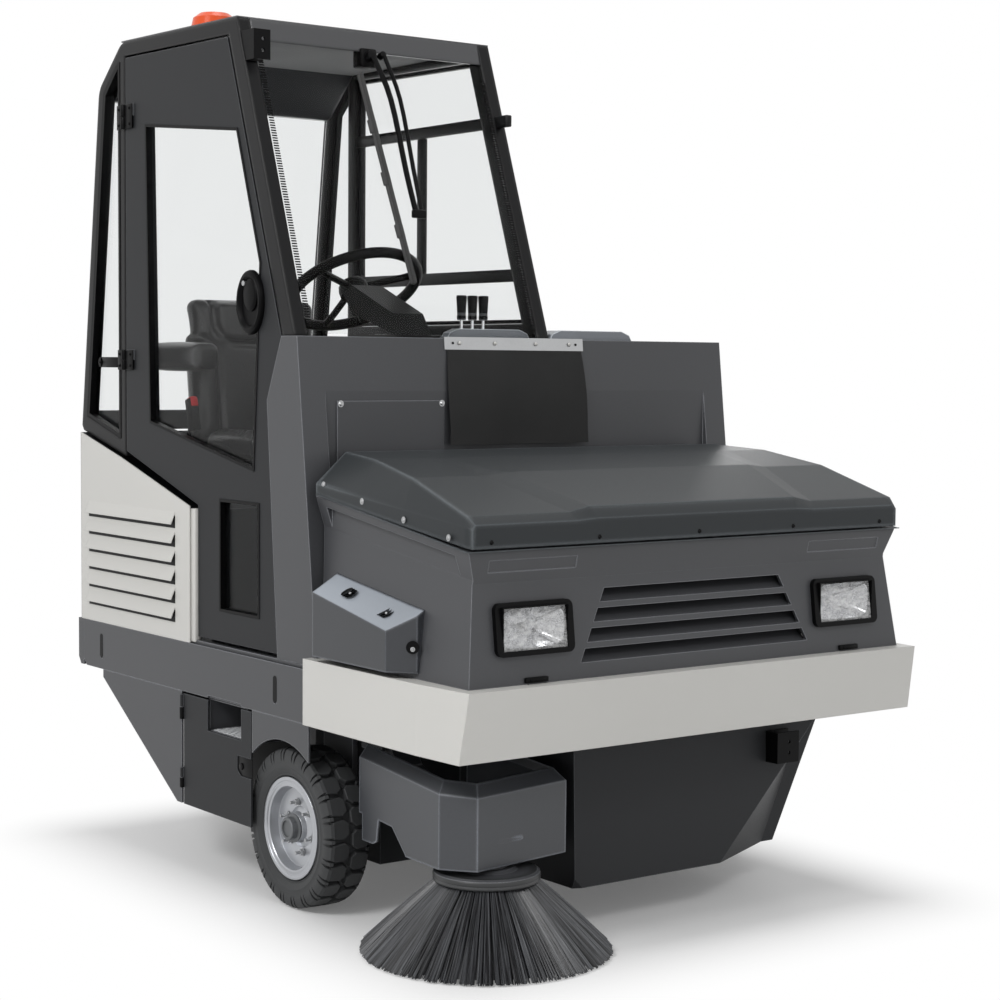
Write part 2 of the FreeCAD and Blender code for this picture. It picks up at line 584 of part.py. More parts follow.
def brush_cover():
    """A bent skirt round the brush drive, open above and behind, with its lip bent inwards."""
    piece = new_body("brush_cover")
    foot = outline(piece, "XY_Plane", cover_plan("0"), "cover_low")
    fold = rising(piece, cover_plan("0"), "cover_fold")
    lip = rising(piece, cover_plan("22"), "cover_fold + cover_bevel")
    skin(piece, foot, fold)
    DOC.recompute()
    skin(piece, fold, lip)
    DOC.recompute()
    foot = outline(piece, "XY_Plane", cover_plan("cover_wall", True), "cover_low - 1")
    fold = rising(piece, cover_plan("cover_wall", True), "cover_fold - 2")
    lip = rising(piece, cover_plan("22 + cover_wall", True), "cover_fold + cover_bevel + 1")
    skin(piece, foot, fold, True)
    DOC.recompute()
    skin(piece, fold, lip, True)
    DOC.recompute()
    front = "cover_end_y + cover_wall + 2"
    shelf = "cover_low + 54", "cover_low + 60 - face_gap"
    pad(piece, "z", box("-brush_x - 60", "-brush_x + 60", front, "brush_y + 60"), *shelf)
    DOC.recompute()
    pad(piece, "z", box("-brush_x - 60", "-brush_x + 60", "cover_nose_y + cover_wall * 3", front + " + 1"),
        *shelf)
    cut(piece, "z", ("-brush_x", "brush_y", "motor_radius + face_gap"), shelf[0] + " - 1", shelf[1] + " + 1")
    cut(piece, "x", [("cover_tail_y - 15", "cover_low - 1"), ("cover_tail_y - 62", "cover_low - 1"),
                     ("cover_tail_y - 82", "cover_low + 8"), ("cover_tail_y - 90", "cover_low + 60"),
                     ("cover_tail_y - 151", "cover_low + 56"), ("cover_tail_y - 211", "cover_low + 2"),
                     ("cover_tail_y - 212", "cover_low - 1")],
        "-cover_cheek_x - 5", "-cover_tail_x + cover_wall + 20")
    cut(piece, "x", box("cover_tail_y - 15", "cover_tail_y + 2", "cover_low - 1", "cover_low + 62"),
        "-cover_cheek_x - 5", "-cover_tail_x + cover_wall + 20")


def bristle_line(reach):
    """Height of the bristles' upper side at a distance from the brush's axis."""
    return ("(brush_top - (%s - brush_ring + 8) * (brush_top - brush_tip - 5)"
            " / (brush_radius - brush_ring + 8))" % reach)


def side_brush():
    """A ring of bristle bundles that spread from the plate to the ground, parted by narrow gaps."""
    piece = new_body("side_brush", "-brush_x", "brush_y", "0")
    turn(piece, [("0", "brush_top"), ("brush_ring - 8", "brush_top"), ("brush_radius", "brush_tip + 5"),
                 ("brush_radius - 10", "brush_tip"), ("60", "brush_top - 40"), ("0", "brush_top - 40")],
         "Z_Axis", "XZ_Plane")
    DOC.recompute()
    inner, outer = "(brush_ring - 5)", "(brush_radius + 5)"
    gap = cut(piece, "y", [(inner, bristle_line(inner) + " - bundle_depth"),
                           (outer, bristle_line(outer) + " - bundle_depth"),
                           (outer, "brush_top + 5"), (inner, "brush_top + 5")],
              "-bundle_gap / 2", "bundle_gap / 2")
    DOC.recompute()
    polar(piece, gap, int(size("bundle_count")))


def brush_plate():
    """The dished steel plate that holds the bristles, with its raised hub."""
    piece = new_body("brush_plate", "-brush_x", "brush_y", "0")
    turn(piece, [("0", "brush_top"), ("brush_ring", "brush_top"), ("brush_ring", "plate_lip"),
                 ("brush_ring - 5", "plate_lip + 4"), ("motor_radius + 22", "plate_lip + 4"),
                 ("motor_radius + 14", "plate_top"), ("0", "plate_top")],
         "Z_Axis", "XZ_Plane")


# Front body


def bumper():
    piece = new_body("bumper")

    def plan(inset, front, half):
        return mirror_points([
            ("(%s) - (%s)" % (half, inset), "(%s) + (%s)" % (front, inset)),
            ("bumper_side_half - (%s)" % inset, "bumper_kink_y"),
            ("bumper_side_half - (%s)" % inset, "bumper_rear")])

    loft(piece, "z", [("bumper_bottom", plan("0", "bumper_undercut", "bumper_toe_half - 6")),
                      ("bumper_top", plan("0", "0", "bumper_top_half"))])
    DOC.recompute()
    inner = [("bumper_bottom - 1", "bumper_undercut"), ("bumper_top - sheet_wall", "0")]
    sections = []
    for place, front in inner:
        half = "bumper_top_half"
        sections.append((place, mirror_points([
            (half + " - sheet_wall", front + " + sheet_wall"),
            ("bumper_side_half - sheet_wall", "bumper_kink_y"),
            ("bumper_side_half - sheet_wall", "bumper_rear + 1")])))
    loft(piece, "z", sections, subtractive=True)
    DOC.recompute()
    cut(piece, "z", mirror_points([("nose_foot_half - 30", "nose_foot_y + 20"),
                                   ("nose_foot_half - 30", "bumper_rear + 1")]),
        "bumper_top - sheet_wall - 1", "bumper_top + 1")
    cut(piece, "z", box("-(console_half + face_gap)", "console_half + face_gap",
                        "console_foot_y - face_gap", "bumper_rear + 1"),
        "bumper_top - sheet_wall - 1", "bumper_top + 1")


def front_shell():
    piece = new_body("front_shell")
    front = mirror_points([("nose_foot_half", "nose_foot"), ("nose_fold_half", "nose_fold"),
                           ("nose_lip_half", "nose_lip")])
    rear = mirror_points([("nose_foot_half", "nose_foot"), ("nose_fold_half", "nose_rear_fold"),
                          ("nose_lip_half", "nose_rear_lip")])
    loft(piece, "y", [("0", front), ("nose_rear_y", rear)])
    DOC.recompute()
    cut(piece, "x", [("-10", "nose_foot - 5"), ("nose_foot_y", "nose_foot - 5"),
                     ("nose_foot_y", "nose_foot"), ("nose_fold_y", "nose_fold"),
                     ("nose_lip_y", "nose_lip"), ("nose_lip_y", "nose_rear_lip + 50"),
                     ("-10", "nose_rear_lip + 50")], "-(nose_foot_half + 20)", "nose_foot_half + 20")
    cut(piece, "x", [("nose_foot_y + nose_wall", "nose_foot - 5"),
                     ("nose_foot_y + nose_wall", "nose_foot"),
                     ("nose_fold_y + nose_wall", "nose_fold"),
                     ("nose_lip_y + nose_wall", "nose_lip + 5"),
                     ("nose_lip_y + nose_wall", "nose_rear_lip + 50"),
                     ("nose_rear_y + 5", "nose_rear_lip + 50"), ("nose_rear_y + 5", "nose_foot - 5")],
        "-nose_side_in", "nose_side_in")
    DOC.recompute()
    cut(piece, "x", [(console_line("nose_foot") + " - running_gap", "nose_foot - 5"),
                     (console_line("(nose_rear_lip + 5)") + " - running_gap", "nose_rear_lip + 5"),
                     ("nose_rear_y + 5", "nose_rear_lip + 5"), ("nose_rear_y + 5", "nose_foot - 5")],
        "-(nose_foot_half + 20)", "nose_foot_half + 20")
    for low, high in (("-587", "-349"), ("357", "593")):
        cut(piece, "x", [("nose_lip_y - 10", "862"), (brow_line("862") + " + 2", "862"),
                         (brow_line("888") + " + 2", "888"), ("nose_lip_y - 10", "888")], low, high)
    for side in (RIGHT, LEFT):
        loft(piece, "y", [(place, cheek_recess(side, place)) for place in ("106", "618")], subtractive=True)
        DOC.recompute()
    pitch = "(louvre_high - louvre_low) / louvre_count"
    for index in range(int(size("louvre_count"))):
        low = "louvre_low + %d * %s + 4" % (index, pitch)
        high = low + " + louvre_slot"
        rate = "(louvre_low_half - louvre_high_half) / (louvre_high - louvre_low)"
        wide = "louvre_low_half - %s * (%s - louvre_low)"
        cut(piece, "y", mirror_points([(wide % (rate, low), low), (wide % (rate, high), high)]),
            "0", "nose_fold_y + nose_wall + 5")
    DOC.recompute()
    for index in range(int(size("louvre_count"))):
        low = "louvre_low + %d * %s + 4" % (index, pitch)
        near = nose_line("(%s)" % low) + " + nose_wall - 1"
        pad(piece, "x", [(near, low + " - 4"), (near, low), (near + " + 46", low + " + louvre_slot + 6"),
                         (near + " + 48", low + " + louvre_slot + 2"), (near + " + 4", low + " - 4")],
            "-louvre_low_half", "louvre_low_half")
        DOC.recompute()
    for side in (RIGHT, LEFT):
        low, high = span(side, "lamp_x - lamp_half_width + lamp_cheek",
                         "lamp_x + lamp_half_width - lamp_cheek")
        cut(piece, "y", box(low, high, "lamp_z - lamp_half_height + lamp_rim",
                            "lamp_z + lamp_half_height - lamp_rim"), "0", "nose_fold_y + nose_wall + 5")


def brow_line(level):
    """How far back the folded band under the hood lies at a height."""
    return "(nose_fold_y + (%s - nose_fold) * (nose_lip_y - nose_fold_y) / (nose_lip - nose_fold))" % level


def cheek_recess(side, place):
    """The upright hollow in the shell's flared side band: flush at the fold, deepest under the lip."""
    fold = "nose_fold + (nose_rear_fold - nose_fold) * %s / nose_rear_y" % place
    brow = lip_line(place) + " - 20"
    return [(flip(side, "nose_fold_half + 1"), fold + " + 3"), (flip(side, "nose_lip_half + 9"), fold + " + 3"),
            (flip(side, "nose_lip_half + 9"), brow), (flip(side, "nose_fold_half + 1"), brow)]


def nose_line(level):
    """How far back the grille face lies at a height."""
    return ("(nose_foot_y + (%s - nose_foot) * (nose_fold_y - nose_foot_y) / (nose_fold - nose_foot))"
            % level)


def headlamp(side):
    """A rim that stands on the grille face, with its bowl through the opening."""
    piece = new_body("headlamp_" + name_side(side))
    low, high = span(side, "lamp_x - lamp_half_width", "lamp_x + lamp_half_width")
    foot, head = "(lamp_z - lamp_half_height)", "(lamp_z + lamp_half_height)"
    pad(piece, "x", [(nose_line(foot) + " - lamp_stand", foot), (nose_line(foot) + " - face_gap", foot),
                     (nose_line(head) + " - face_gap", head), (nose_line(head) + " - lamp_stand", head)],
        low, high)
    soften(piece, "lamp_corner", lambda edge: along(edge, "y"))

    def room(wall):
        """A rectangle inside the rim, a wall's thickness in from its opening."""
        across = span(side, "lamp_x - lamp_half_width + lamp_cheek + " + wall,
                      "lamp_x + lamp_half_width - lamp_cheek - " + wall)
        return across + (foot + " + lamp_rim + " + wall, head + " - lamp_rim - " + wall)

    pad(piece, "y", box(*room("face_gap")), "nose_foot_y", "nose_foot_y + lamp_depth")
    cut(piece, "y", box(*room("3")), "0", "nose_foot_y + lamp_depth - 5")
    lens = new_body("lens_" + name_side(side))
    low, high, foot, head = room("(3 + face_gap)")
    foot, head = "(%s)" % foot, "(%s)" % head
    pad(lens, "x", [(nose_line(foot) + " - 8", foot), (nose_line(foot) + " - 4", foot),
                    (nose_line(head) + " - 4", head), (nose_line(head) + " - 8", head)], low, high)
    return piece, lens


def lip_line(place):
    """Height of the front body's upper edge at a place along the machine."""
    return "(nose_lip + (nose_rear_lip - nose_lip) * (%s) / nose_rear_y)" % place


HOOD_STATIONS = (
    # place, how far the lip and the top stand from the front body's edge, height of the lip
    # and of the top, then how far the raised middle has spread and how much of it is left
    ("hood_front", "- 5", "- 12", "42", "966", "- 8", "0.3"),
    ("hood_front + 20", "+ 0", "- 6", "44", "984", "+ 0", "1"),
    ("284", "+ 5", "- 18", "36", "1054", "+ 62", "0.6"),
    ("470", "+ 8", "- 42", "30", "1086", "+ 104", "0"),
    ("hood_rear", "+ 9", "- 72", "26", "1096", "+ 130", "0"))


def hood_ring(station, inset="0"):
    place, half_step, top_step, lip, top, spread, share = station
    half, top_half = "nose_lip_half " + half_step, "nose_lip_half " + top_step
    foot = lip_line(place) + " + running_gap"
    if inset != "0":
        foot += " - 1"
    level = "%s - (%s)" % (top, inset)
    return mirror_points([
        ("%s - (%s)" % (half, inset), foot),
        ("%s - (%s)" % (half, inset), lip_line(place) + " + running_gap + " + lip),
        ("%s - (%s)" % (top_half, inset), level),
        ("plateau_half %s - (%s)" % (spread, inset), level),
        ("plateau_half %s - plateau_slope - (%s)" % (spread, inset),
         "%s + plateau_rise * %s" % (level, share))])


def hood():
    piece = new_body("hood")
    loft(piece, "y", [(row[0], hood_ring(row)) for row in HOOD_STATIONS])
    DOC.recompute()
    first, last = HOOD_STATIONS[0], HOOD_STATIONS[-1]
    inner = [(first[0] + " + hood_wall", hood_ring(first, "hood_wall"))]
    inner += [(row[0], hood_ring(row, "hood_wall")) for row in HOOD_STATIONS[1:-1]]
    inner += [(last[0] + " - hood_wall", hood_ring(last, "hood_wall"))]
    loft(piece, "y", inner, subtractive=True)
    cut(piece, "y", box("84 - nose_lip_half", "nose_lip_half - 84", lip_line("hood_rear") + " + 4",
                        "1096 - hood_wall - 4"),
        "hood_rear - hood_wall - 1", "hood_rear + 1")
    for side in (RIGHT, LEFT):
        low, high = span(side, "hood_ear_x + ear_wall + 4", "hood_ear_x + ear_wall * 2 + 4")
        pad(piece, "x", [("hood_pivot_y - 60", "1089"), ("hood_pivot_y - 14", "hood_pivot_z - 12"),
                         ("hood_pivot_y + 11", "hood_pivot_z - 12"), ("hood_pivot_y + 11", "1093")],
            low, high)
        cut(piece, "x", ("hood_pivot_y", "hood_pivot_z", "ear_pin + shaft_gap"), low + " - 1", high + " + 1")


def console_line(level):
    """How far back the console's front wall lies at a height."""
    return ("(console_foot_y + (%s - console_foot) * (console_top_y - console_foot_y)"
            " / (console_top - console_foot))" % level)


def hood_hinges():
    """Cranked lugs that carry the hood's ears on pins."""
    lugs = []
    for side in (RIGHT, LEFT):
        piece = new_body("hood_hinge_" + name_side(side))
        low, high = span(side, "hood_ear_x", "hood_ear_x + ear_wall")
        pad(piece, "x", [("hood_pivot_y - 11", "hood_pivot_z + 11"), ("hood_pivot_y + 11", "hood_pivot_z + 11"),
                         ("hood_pivot_y + 11", "hood_pivot_z - 58"),
                         ("recess_y - face_gap", "hood_pivot_z - 58"),
                         ("recess_y - face_gap", "hood_pivot_z - 84"),
                         ("hood_pivot_y - 11", "hood_pivot_z - 84")], low, high)
        DOC.recompute()
        low, high = span(side, "hood_ear_x - 4", "hood_ear_x + ear_wall * 2 + 8")
        pad(piece, "x", ("hood_pivot_y", "hood_pivot_z", "ear_pin"), low, high)
        lugs.append(piece)
    return lugs


def console():
    """A moulded wall across the machine, with an upright recess in its leaning front."""
    piece = new_body("console")
    pad(piece, "x", [("console_foot_y", "console_foot"), ("console_top_y", "console_top"),
                     ("console_back_y", "console_top"), ("console_knee_y", "console_knee"),
                     ("console_rear_y", "console_foot")], "-console_half", "console_half")
    cut(piece, "x", [("recess_y", "recess_top"), ("recess_y", "recess_foot"),
                     ("console_foot_y - 10", "recess_foot"), ("console_foot_y - 10", "recess_top")],
        "-recess_half", "recess_half")
    rear = [("console_back_y - console_wall", "console_top - console_wall"),
            ("console_knee_y - console_wall", "console_knee"),
            ("console_rear_y - console_wall", "console_foot - 1")]
    cut(piece, "x", [("recess_y + console_wall", "console_foot - 1"),
                     ("recess_y + console_wall", "recess_top"),
                     ("console_top_y + console_wall", "console_top - console_wall")] + rear,
        "console_wall - console_half", "console_half - console_wall")
    for side in (RIGHT, LEFT):
        low, high = span(side, "recess_half + console_wall", "console_half - console_wall")
        cut(piece, "x", [("console_foot_y + console_wall", "console_foot - 1"),
                         ("recess_y + console_wall + 1", "recess_top"),
                         ("recess_y + console_wall + 1", "console_foot - 1")], low, high)


def flap_strip():
    piece = new_body("flap_strip")
    lean = "(console_top_y - console_foot_y) / (console_top - console_foot)"
    foot = "console_top_y - (console_top - strip_bottom) * %s" % lean
    pad(piece, "x", [(foot + " - face_gap", "strip_bottom"),
                     ("console_top_y - face_gap", "console_top + face_gap"),
                     ("console_top_y + 15", "console_top + face_gap"),
                     ("console_top_y + 15", "console_top + strip_wall"),
                     ("console_top_y - strip_wall", "console_top + strip_wall"),
                     (foot + " - strip_wall", "strip_bottom")],
        "flap_left - strip_over", "flap_right + strip_over")


def rubber_flap():
    piece = new_body("rubber_flap")
    lean = "(console_top_y - console_foot_y) / (console_top - console_foot)"
    top = "console_top_y - (console_top - strip_bottom) * %s - face_gap" % lean
    foot = "console_top_y - (console_top - flap_bottom) * %s - 4" % lean
    pad(piece, "x", [(foot + " - flap_wall", "flap_bottom"), (foot, "flap_bottom"),
                     (top, "strip_bottom - face_gap"), (top + " - flap_wall", "strip_bottom - face_gap")],
        "flap_left", "flap_right")
    return piece


def console_covers():
    """Low rounded covers on the console's top, one inside the cab and one beside it."""
    covers = []
    for low, high, front, rear in (("-206", "cab_left - cab_depth - 7", "console_top_y + 42", "console_back_y"),
                                   ("97", "368", "console_top_y + 17", "console_back_y")):
        piece = new_body("console_cover")
        foot = "console_top + face_gap"
        pad(piece, "y", [(low, foot), (low + " + 8", foot + " + dome_rise"),
                         (low + " + 34", foot + " + dome_top"),
                         (high + " - 34", foot + " + dome_top"), (high + " - 8", foot + " + dome_rise"),
                         (high, foot)], front, rear)
        covers.append(piece)
    together("console_covers", covers)


# Cab


DOOR_HINGES = (("1280", "1333"), ("cab_brow - 219", "cab_brow - 155"))


def cab_side(side):
    label = "cab_side_" + name_side(side)
    piece = new_body(label)
    if side == RIGHT:
        low, high = "-cab_right", "cab_depth - cab_right"
    else:
        low, high = "cab_left - cab_depth", "cab_left"
    corner = [("cab_foot_y", "cab_foot"), ("cab_brow_y", "cab_brow"), ("cab_roof_rear_y", "cab_roof_rear"),
              ("cab_bend_y", "cab_bend"), ("cab_rear_y", "cab_rear"), ("cab_rear_y - 10", "cab_rear - 14"),
              ("post_y", "deck_mid + 4")]
    if side == RIGHT:
        corner += [("post_y", "cab_roof_rear - roof_rail"),
                   ("cab_brow_y + pillar_width - 14", "cab_brow - roof_rail"),
                   ("cab_foot_y + pillar_width", "cab_foot")]
    else:
        corner += [("deck_front + 4", "deck_front_top + 6"), ("console_knee_y + 1", "deck_front_top + 6"),
                   ("console_knee_y + 1", "console_knee"), ("console_back_y + 1", "console_top + face_gap")]
    pad(piece, "x", corner, low, high)
    bend = size("cab_bend") - 1
    soften(piece, "cab_corner", lambda edge: along(edge, "x") and edge.BoundBox.ZMin > bend
           and edge.BoundBox.YMin > size("cab_roof_rear_y") - 1)
    inset = "post_y + post_width"
    cut(piece, "x", [(inset, "deck_mid + 48"), ("cab_rear_y - 34", "cab_rear + 24"),
                     ("cab_bend_y - 30", "cab_bend - 12"), ("cab_roof_rear_y + 30", "cab_roof_rear - 60"),
                     (inset, "cab_roof_rear - roof_rail - 12")],
        low + " - 1", high + " + 1")
    if side == LEFT:
        cut(piece, "x", [("cab_foot_y + pillar_width + 14", "cab_foot + 40"),
                         ("cab_brow_y + pillar_width - 14", "cab_brow - roof_rail"),
                         ("post_y", "cab_roof_rear - roof_rail"), ("post_y", "cab_foot + 40")],
            low + " - 1", high + " + 1")
    else:
        for bottom, head in DOOR_HINGES:
            pad(piece, "z", box("-cab_right - 4", "1 - cab_right", "post_y - 3", "post_y + post_width"),
                bottom, "((%s) + (%s)) / 2 - 0.5" % (bottom, head))
            DOC.recompute()
            hinge_fixed(piece, "-cab_right - 6", "post_y - 3", bottom, head)


def cab_cross_frame():
    piece = new_body("cab_front_header")
    low, high = "cab_depth + face_gap - cab_right", "cab_left - cab_depth - face_gap"
    pad(piece, "x", [("cab_brow_y - 17", "cab_brow - header_depth"), ("cab_brow_y", "cab_brow"),
                     ("cab_brow_y + 40", "cab_brow"), ("cab_brow_y + 40", "cab_brow - 20"),
                     ("cab_brow_y + 10", "cab_brow - 24"), ("cab_brow_y - 3", "cab_brow - header_depth")],
        low, high)
    rear = new_body("cab_rear_frame")
    pad(rear, "x", [("cab_rear_y - 36", "cab_rear - 14"), ("cab_rear_y - 8", "cab_rear - 14"),
                    ("cab_rear_y", "cab_rear"), ("cab_rear_y - 5", "cab_rear + 40"),
                    ("cab_rear_y - 30", "cab_rear + 40")], low, high)
    upper = new_body("cab_rear_header")
    pad(upper, "x", [("cab_bend_y + 4", "cab_bend - 30"), ("cab_bend_y", "cab_bend"),
                     ("cab_roof_rear_y", "cab_roof_rear"), ("cab_roof_rear_y - 20", "cab_roof_rear - 1"),
                     ("cab_roof_rear_y - 20", "cab_roof_rear - 24"), ("cab_bend_y - 24", "cab_bend - 30")],
        low, high)
    panel = new_body("roof_panel")
    pad(panel, "x", [("cab_brow_y", "cab_brow + face_gap"), ("cab_roof_rear_y", "cab_roof_rear + face_gap"),
                     ("cab_roof_rear_y", "cab_roof_rear + roof_wall"),
                     ("cab_brow_y", "cab_brow + roof_wall")], "-cab_right", "cab_left")
    together("cab_roof_frame", [piece, rear, upper, panel])


def pane(label, corners, low, high):
    piece = new_body(label)
    pad(piece, "x", corners, low, high)
    return piece


def leaning_pane(label, foot_y, foot, top_y, top):
    """A sheet of glass that spans the cab between its side frames."""
    corners = [(foot_y, foot), (foot_y + " + glass_wall", foot), (top_y + " + glass_wall", top), (top_y, top)]
    return pane(label, corners,
                "cab_depth + face_gap - cab_right", "cab_left - cab_depth - face_gap")


def cab_glass():
    front = leaning_pane("windscreen", "cab_foot_y + 8", "cab_foot + strip_wall + 3", "cab_brow_y - 12",
                 "cab_brow - header_depth - face_gap")
    rear = leaning_pane("rear_window", "cab_rear_y - 20", "cab_rear + 40 + face_gap", "cab_bend_y - 10",
                 "cab_bend - 30 - face_gap")
    mid = "cab_depth / 2"
    quarter = [("post_y + post_width + 0.5", "deck_mid + 49"), ("cab_rear_y - 35", "cab_rear + 25"),
               ("cab_bend_y - 31", "cab_bend - 13"), ("cab_roof_rear_y + 29.5", "cab_roof_rear - 61"),
               ("post_y + post_width + 0.5", "cab_roof_rear - roof_rail - 13")]
    right = pane("quarter_right", quarter, "%s - cab_right" % mid, "%s - cab_right + glass_wall" % mid)
    left = pane("quarter_left", quarter, "cab_left - %s" % mid, "cab_left - %s + glass_wall" % mid)
    side = pane("pane_left", [("cab_foot_y + pillar_width + 15", "cab_foot + 40.5"),
                              ("cab_brow_y + pillar_width - 13.5", "cab_brow - roof_rail - 1"),
                              ("post_y - 0.5", "cab_roof_rear - roof_rail - 1"),
                              ("post_y - 0.5", "cab_foot + 40.5")],
                "cab_left - %s" % mid, "cab_left - %s + glass_wall" % mid)
    together("cab_windows", [front, rear, right, left, side])


def cab_door():
    """The door's outline follows the pillar, the roof rail, the post, the deck and the footwell."""
    piece = new_body("cab_door")
    gap = "running_gap"
    corners = [("cab_foot_y + pillar_width + 8", "cab_foot"),
               ("cab_brow_y + pillar_width - 6", "cab_brow - roof_rail - " + gap),
               ("post_y - " + gap, "cab_roof_rear - roof_rail - " + gap),
               ("post_y - " + gap, "deck_mid + 12 + " + gap),
               ("deck_front + 8", "deck_front_top + 12"), ("deck_front + 8", "console_foot + 10"),
               ("console_rear_y + 10", "console_foot + 10"), ("console_knee_y + 8", "console_knee"),
               ("cab_foot_y + pillar_width + 8", "cab_foot - 6")]
    pad(piece, "x", corners, "-cab_right", "30 - cab_right")
    cut(piece, "x", [("1482", "cab_brow - 215"), ("995", "cab_brow - 265"), ("882", "1542"),
                     ("915", "1039"), ("1459", "1142")],
        "-cab_right - 1", "31 - cab_right")
    cut(piece, "x", box("890", "1087", "683", "964"), "-cab_right - 1", "31 - cab_right")
    for bottom, head in DOOR_HINGES:
        pad(piece, "z", box("-cab_right - 4", "1 - cab_right", "post_y - 54", "post_y - 3"),
            "((%s) + (%s)) / 2 + 0.5" % (bottom, head), head)
        DOC.recompute()
        hinge_moving(piece, "-cab_right - 6", "post_y - 3", bottom, head)
    glass = new_body("door_glass")
    pad(glass, "x", [("1481.6", "cab_brow - 215.4"), ("995.3", "cab_brow - 265.4"), ("882.4", "1542"),
                     ("915.3", "1039.5"), ("1458.6", "1142.4")], "12 - cab_right", "17 - cab_right")
    lower = new_body("door_lower_glass")
    pad(lower, "x", box("890.3", "1086.7", "683.3", "963.7"), "12 - cab_right", "17 - cab_right")
    together("door_windows", [glass, lower])


def door_handle():
    """The dished grip on the door, an oval with a hollow for the fingers."""
    piece = new_body("door_handle")
    face = "-cab_right - face_gap"
    out = "-cab_right - handle_out"
    low, high = "handle_z - handle_stretch", "handle_z + handle_stretch"
    pad(piece, "x", box("handle_y - handle_half", "handle_y + handle_half", low, high), out, face)
    for end in (low, high):
        DOC.recompute()
        pad(piece, "x", ("handle_y", end, "handle_half"), out, face)
    brow = 1 - size("cab_right") - size("handle_out")
    bevel(piece, "handle_out / 3", lambda edge: edge.BoundBox.XMax < brow)
    cut(piece, "x", ("handle_y - 6", "handle_z - 4", "handle_half - 22"), out + " - 1", out + " + 8")


# Rear body


def deck():
    piece = new_body("deck")
    half = "cab_right - 30 - running_gap"
    pad(piece, "x", [("deck_front", "deck_foot"), ("deck_front", "deck_front_top"),
                     ("deck_mid_y", "deck_mid"), ("deck_rear_y - 12", "deck_rear - 3"),
                     ("deck_rear_y - 12", "deck_rear - 3 - sheet_wall"),
                     ("deck_mid_y", "deck_mid - sheet_wall"),
                     ("deck_front + sheet_wall", "deck_front_top - sheet_wall"),
                     ("deck_front + sheet_wall", "deck_foot")], "-(%s)" % half, half)
    cut(piece, "z", box("lid_inner_x + 30", "body_half - 60", "deck_front + 30", "deck_rear_y - 40"),
        "deck_front_top - 30", "deck_rear + 10")


def floor_plate():
    piece = new_body("cab_floor")
    pad(piece, "z", box("-(body_half - 9)", "body_half - 9", "console_foot_y + 10", "deck_front + 60"),
        "rail_top + face_gap", "console_foot - face_gap")


def rear_panel(side):
    piece = new_body("rear_panel_" + name_side(side))
    low, high = span(side, "body_half - sheet_wall", "body_half")
    pad(piece, "x", [("panel_front", "rail_top + face_gap"), ("panel_front", "deck_front_top + 8"),
                     ("deck_mid_y", "deck_mid"), ("deck_rear_y", "deck_rear"),
                     ("deck_rear_y", "rail_top + face_gap")], low, high)
    for index in range(int(size("rear_louvre_count"))):
        foot = "rear_louvre_first + %d * rear_louvre_pitch" % index
        cut(piece, "x", box("rear_louvre_front + 8", "rear_louvre_rear - 8", foot,
                            foot + " + rear_louvre_high / 2"), low + " - 1", high + " + 1")
        wall = "body_half - sheet_wall"
        corners = [(flip(side, wall), foot + " + rear_louvre_high"),
                   (flip(side, "body_half + rear_louvre_out"), foot),
                   (flip(side, "body_half + rear_louvre_out - 3"), foot),
                   (flip(side, wall), foot + " + rear_louvre_high - 5")]
        pad(piece, "y", corners, "rear_louvre_front", "rear_louvre_rear")
    return piece


def rear_cover():
    piece = new_body("rear_cover")
    pad(piece, "y", box("-(body_half - 5)", "body_half - 5", "rail_top + face_gap", "deck_rear"),
        "deck_rear_y + face_gap", "overall_length - 8")
    for index in range(6):
        low = "rail_top + %d" % (70 + index * 44)
        cut(piece, "y", box("-300", "300", low, low + " + 18"), "deck_rear_y", "overall_length")


def rear_beam():
    piece = new_body("rear_beam")
    pad(piece, "x", [("rail_rear + face_gap", "rail_bottom"), ("overall_length - 14", "rail_bottom"),
                     ("overall_length", "rail_bottom + 20"), ("overall_length", "rail_top"),
                     ("rail_rear + face_gap", "rail_top")], "-body_half", "body_half")
    return piece


def console_rear(level):
    """How far back the console's lower rear edge lies at a height."""
    return ("(console_rear_y + (%s - console_foot) * (console_knee_y - console_rear_y)"
            " / (console_knee - console_foot))" % level)


def left_panel():
    piece = new_body("left_panel")
    foot, head = "(rail_top + face_gap)", "(deck_front_top + 8)"
    pad(piece, "x", [(console_rear(foot) + " + 3", foot), ("panel_front - 3", foot),
                     ("panel_front - 3", head), (console_rear(head) + " + 3", head)],
        "body_half - 8", "body_half - 2")
    return piece


LID_HINGES = ("1320", "1560")


